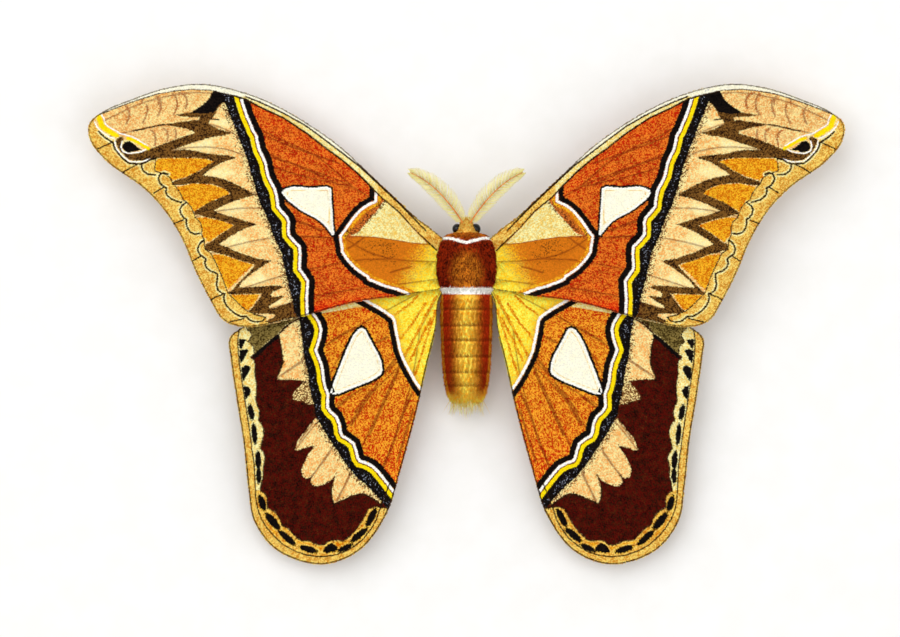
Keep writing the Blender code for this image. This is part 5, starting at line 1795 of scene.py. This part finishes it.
@dataclass
class Leg:
    """One pair of legs: a thin jointed shell with fur and two claws.

    Args:
        name: The pair's name.
        path: The right leg's hip, knee, ankle, heel and toe, in mm.
        shell_radii: The shell's radius at places along its first two parts, in mm.
        foot_radii: The same along the foot, in mm.
        fur_length: The fur's length at places along its parts, in mm.
        fur_width: The fur's width there, in mm.
        tufts: How many tufts grow on it.
    """

    name: str
    path: Path
    shell_radii: Points = ((0, 0.6), (0.4, 0.62), (0.9, 0.4), (1, 0.3), (1.1, 0.36), (1.5, 0.42),
                           (1.95, 0.3), (2, 0.24))
    foot_radii: Points = ((2, 0.24), (3.9, 0.18), (4, 0.1))
    fur_length: Points = ((0, 0.9), (1, 0.75), (1.6, 0.75), (2, 0.5), (2.3, 0.3), (4, 0.16))
    fur_width: Points = ((0, 0.13), (2, 0.11), (4, 0.07))
    tufts: int = 3600

    def profile(self) -> tuple[Array, Array, Array]:
        """Gives the leg's middle line, its radii, and how far along its parts each point is, from 0 to 4."""
        points, radii, parts = [], [], []
        corners = np.array(self.path, float)
        for number, (start, end) in enumerate(zip(corners, corners[1:])):
            steps = max(4, round(np.linalg.norm(end - start) / 0.12))
            for share in np.linspace(0, 1, steps, endpoint=number == 3):
                points.append(start + share * (end - start))
                parts.append(number + share)
                radii.append(self.radius(number + share))
        line = np.array(points)
        for _ in range(2):
            line[1:-1] = 0.25 * line[:-2] + 0.5 * line[1:-1] + 0.25 * line[2:]
        return line, np.array(radii), np.array(parts)

    def radius(self, part: float) -> float:
        """Gives the shell's radius at a place along its parts, in mm, with rings round the foot."""
        if part < 2:
            return float(between(self.shell_radii, part))
        ring = abs(math.sin((part - 2) * 2 * math.pi)) if part > 2.02 else 1.0
        return float(between(self.foot_radii, part) * (0.82 + 0.28 * ring))

    def build(self, side: int, shell: Material, fur: Material, claw: Material,
              seed: int) -> None:
        """Makes one leg with its fur and claws.

        Args:
            side: 1 for the right leg and -1 for the left one.
            shell: The shell's finish.
            fur: The fur's finish.
            claw: The claws' finish.
            seed: The seed of the tufts' differences.
        """
        hand = hand_of(side)
        rng = np.random.default_rng(seed)
        line, radii, parts = self.profile()
        piece = flesh(f"{self.name}_shell_{hand}", "leg", line, radii, side, shell, 16)
        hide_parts(f"{self.name}_{hand}")
        coat_tube(f"{self.name}_fur_{hand}", "leg", line, radii, between(self.fur_length, parts),
                  between(self.fur_width, parts), self.tufts, side, fur, rng)
        toe, ahead = line[-1], unit(line[-1] - line[-6])
        wide = unit(np.cross(ahead, (0, 0, 1)))
        ways = np.array([ahead + 0.6 * sign * wide + (0, 0, 0.25) for sign in (1, -1)])
        ends = np.array([ahead + 0.2 * sign * wide - (0, 0, 0.5) for sign in (1, -1)])
        hooks = Tufts(np.array([toe, toe]), ways, ends, np.full(2, 0.62), np.full(2, 0.14),
                      np.full((2, 2), 0.5), side)
        name = f"{self.name}_claws_{hand}"
        wear(new_object(name, hooks.mesh(name, {}, rng, rings=5), claw), "leg")


@dataclass
class Studio:
    """The floor, the lights and the camera straight above the moth.

    Args:
        aim: The point in the picture's middle, in mm.
        width: How wide the picture is at the wings' height, in mm.
        wing_height: The wings' height, in mm.
        lens: The lens's length, in mm.
        sensor: The sensor's width, in mm.
        lights: Each light's name, place in metres, size in metres and power in watts.
        daylight: How bright the white surroundings are.
    """

    aim: Pair = (-3.05, 1.39)
    width: float = 166.45
    wing_height: float = 9.5
    lens: float = 200
    sensor: float = 36
    lights: Sequence[tuple[str, Triple, float, float]] = (
        ("key", (-0.3, 0.3, 0.66), 0.8, 3.6), ("fill", (0.45, -0.2, 0.6), 0.9, 2.2))
    daylight: float = 0.53

    def build(self) -> None:
        """Makes the floor, the lights and the camera."""
        self.floor()
        for lamp in self.lights:
            self.light(*lamp)
        world = bpy.data.worlds.new("studio")
        world.use_nodes = True
        sky = world.node_tree.nodes["Background"]
        sky.inputs["Color"].default_value = (1, 1, 1, 1)
        sky.inputs["Strength"].default_value = self.daylight
        scene = bpy.context.scene
        scene.world = world
        scene.view_settings.view_transform = "Standard"
        data = bpy.data.cameras.new("camera")
        data.lens, data.sensor_width = self.lens, self.sensor
        camera = bpy.data.objects.new("camera", data)
        scene.collection.objects.link(camera)
        above = self.wing_height + self.width * self.lens / self.sensor
        camera.location = Vector((*self.aim, above)) * MM
        data.clip_start, data.clip_end = 0.05, 10.0
        scene.camera = camera

    def floor(self) -> None:
        """Makes the plain pale floor."""
        bm = bmesh.new()
        bmesh.ops.create_grid(bm, x_segments=1, y_segments=1, size=3000)
        paper = PlainFinish("floor", (250, 249, 247), (247, 246, 243), 6.0, (0.9, 0.9), 0.05).build()
        new_object("floor", mesh_of(bm, "floor"), paper)

    @staticmethod
    def light(name: str, place: Triple, size: float, power: float) -> None:
        """Adds a square soft light that faces the moth.

        Args:
            name: Its name.
            place: Where it is, in metres.
            size: The length of its sides, in metres.
            power: Its power, in watts.
        """
        data = bpy.data.lights.new(name, "AREA")
        data.size, data.energy = size, power
        lamp = bpy.data.objects.new(name, data)
        bpy.context.scene.collection.objects.link(lamp)
        lamp.location = place
        lamp.rotation_mode = "QUATERNION"
        lamp.rotation_quaternion = (-Vector(place)).to_track_quat("-Z", "Y")


def main() -> None:
    """Builds the moth and the studio round it, one sub-assembly after another."""
    logging.basicConfig(level=logging.INFO, format="%(message)s")
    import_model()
    upper = CoatFinish("wing_upper", (214, 118, 20), WING_INKS).build()
    under = CoatFinish("wing_under", (206, 140, 72), WING_INKS, dull=0.35).build()
    fur = CoatFinish("fur", (186, 50, 12), BODY_INKS, hairy=True, grain=0.35, mottle=1.2, bump=0.0).build()
    hair = CoatFinish("wing_hair", (214, 118, 20), WING_INKS, hairy=True, bump=0.0).build()
    fore, hind = ForewingPattern(), HindwingPattern()
    wings = [
        Wing("forewing", (5.0, 13.0), fore.OUTLINE, fore.VEINS, forewing_height, fore.paint, fore.WINDOW),
        Wing("hindwing", (5.0, 7.0), hind.OUTLINE, hind.VEINS, hindwing_height, hind.paint, hind.WINDOW),
    ]
    for number, wing in enumerate(wings):
        for side in (1, -1):
            wing.skin(side, upper)
            wing.scales(side, False, upper, 10 * number + side + 1)
            wing.scales(side, True, under, 10 * number + side + 4)
            wing.hair(side, hair, 10 * number + side + 7)
        LOG.info("%s: skins and scales", wing.name)
    body = Body()
    body.skin(fur)
    body.fur(fur, 5)
    LOG.info("body: skin and fur")
    shaft = PlainFinish("antenna_shaft", (250, 160, 50), (206, 108, 24), 0.6, (0.45, 0.6)).build()
    barb = CoatFinish("antenna_barb", (252, 240, 156), (), hairy=True, bump=0.0).build()
    facets = PlainFinish("eye", (9, 5, 5), (2, 1, 2), 0.085, (0.14, 0.22), 0.2, True, 0.35).build()
    shell = PlainFinish("leg_shell", (128, 62, 26), (84, 34, 14), 0.8, (0.5, 0.65)).build()
    leg_fur = CoatFinish("leg_fur", (190, 100, 34), (), hairy=True, bump=0.0).build()
    claw = PlainFinish("claw", (70, 34, 16), (34, 16, 8), 0.4, (0.3, 0.45)).build()
    antennae, palps, eyes = Antennae(), Palps(), Eyes()
    legs = [
        Leg("leg_front", ((2.3, 14.6, 4.3), (6.9, 15.8, 5.3),
                          (10.3, 17.4, 1.4), (11.3, 18.2, 0.34), (14, 19.9, 0.27))),
        Leg("leg_middle", ((2.6, 11.6, 4), (8.3, 11.2, 5.4),
                           (12.2, 10, 1.4), (13.3, 9.6, 0.34), (16.4, 8.6, 0.27))),
        Leg("leg_hind", ((2.4, 9, 4), (7.6, 5.4, 5.4),
                         (10.4, 0.9, 1.4), (11, -0.2, 0.34), (12.6, -3.4, 0.27))),
    ]
    for side in (1, -1):
        antennae.build(side, shaft, barb, 40 + side)
        eyes.build(side, facets)
        palps.build(side, shell, leg_fur, 46 + side)
        for number, leg in enumerate(legs):
            leg.build(side, shell, leg_fur, claw, 50 + 2 * number + side)
    LOG.info("antennae, eyes, palps and legs")
    Studio().build()


if __name__ == "__main__":
    main()
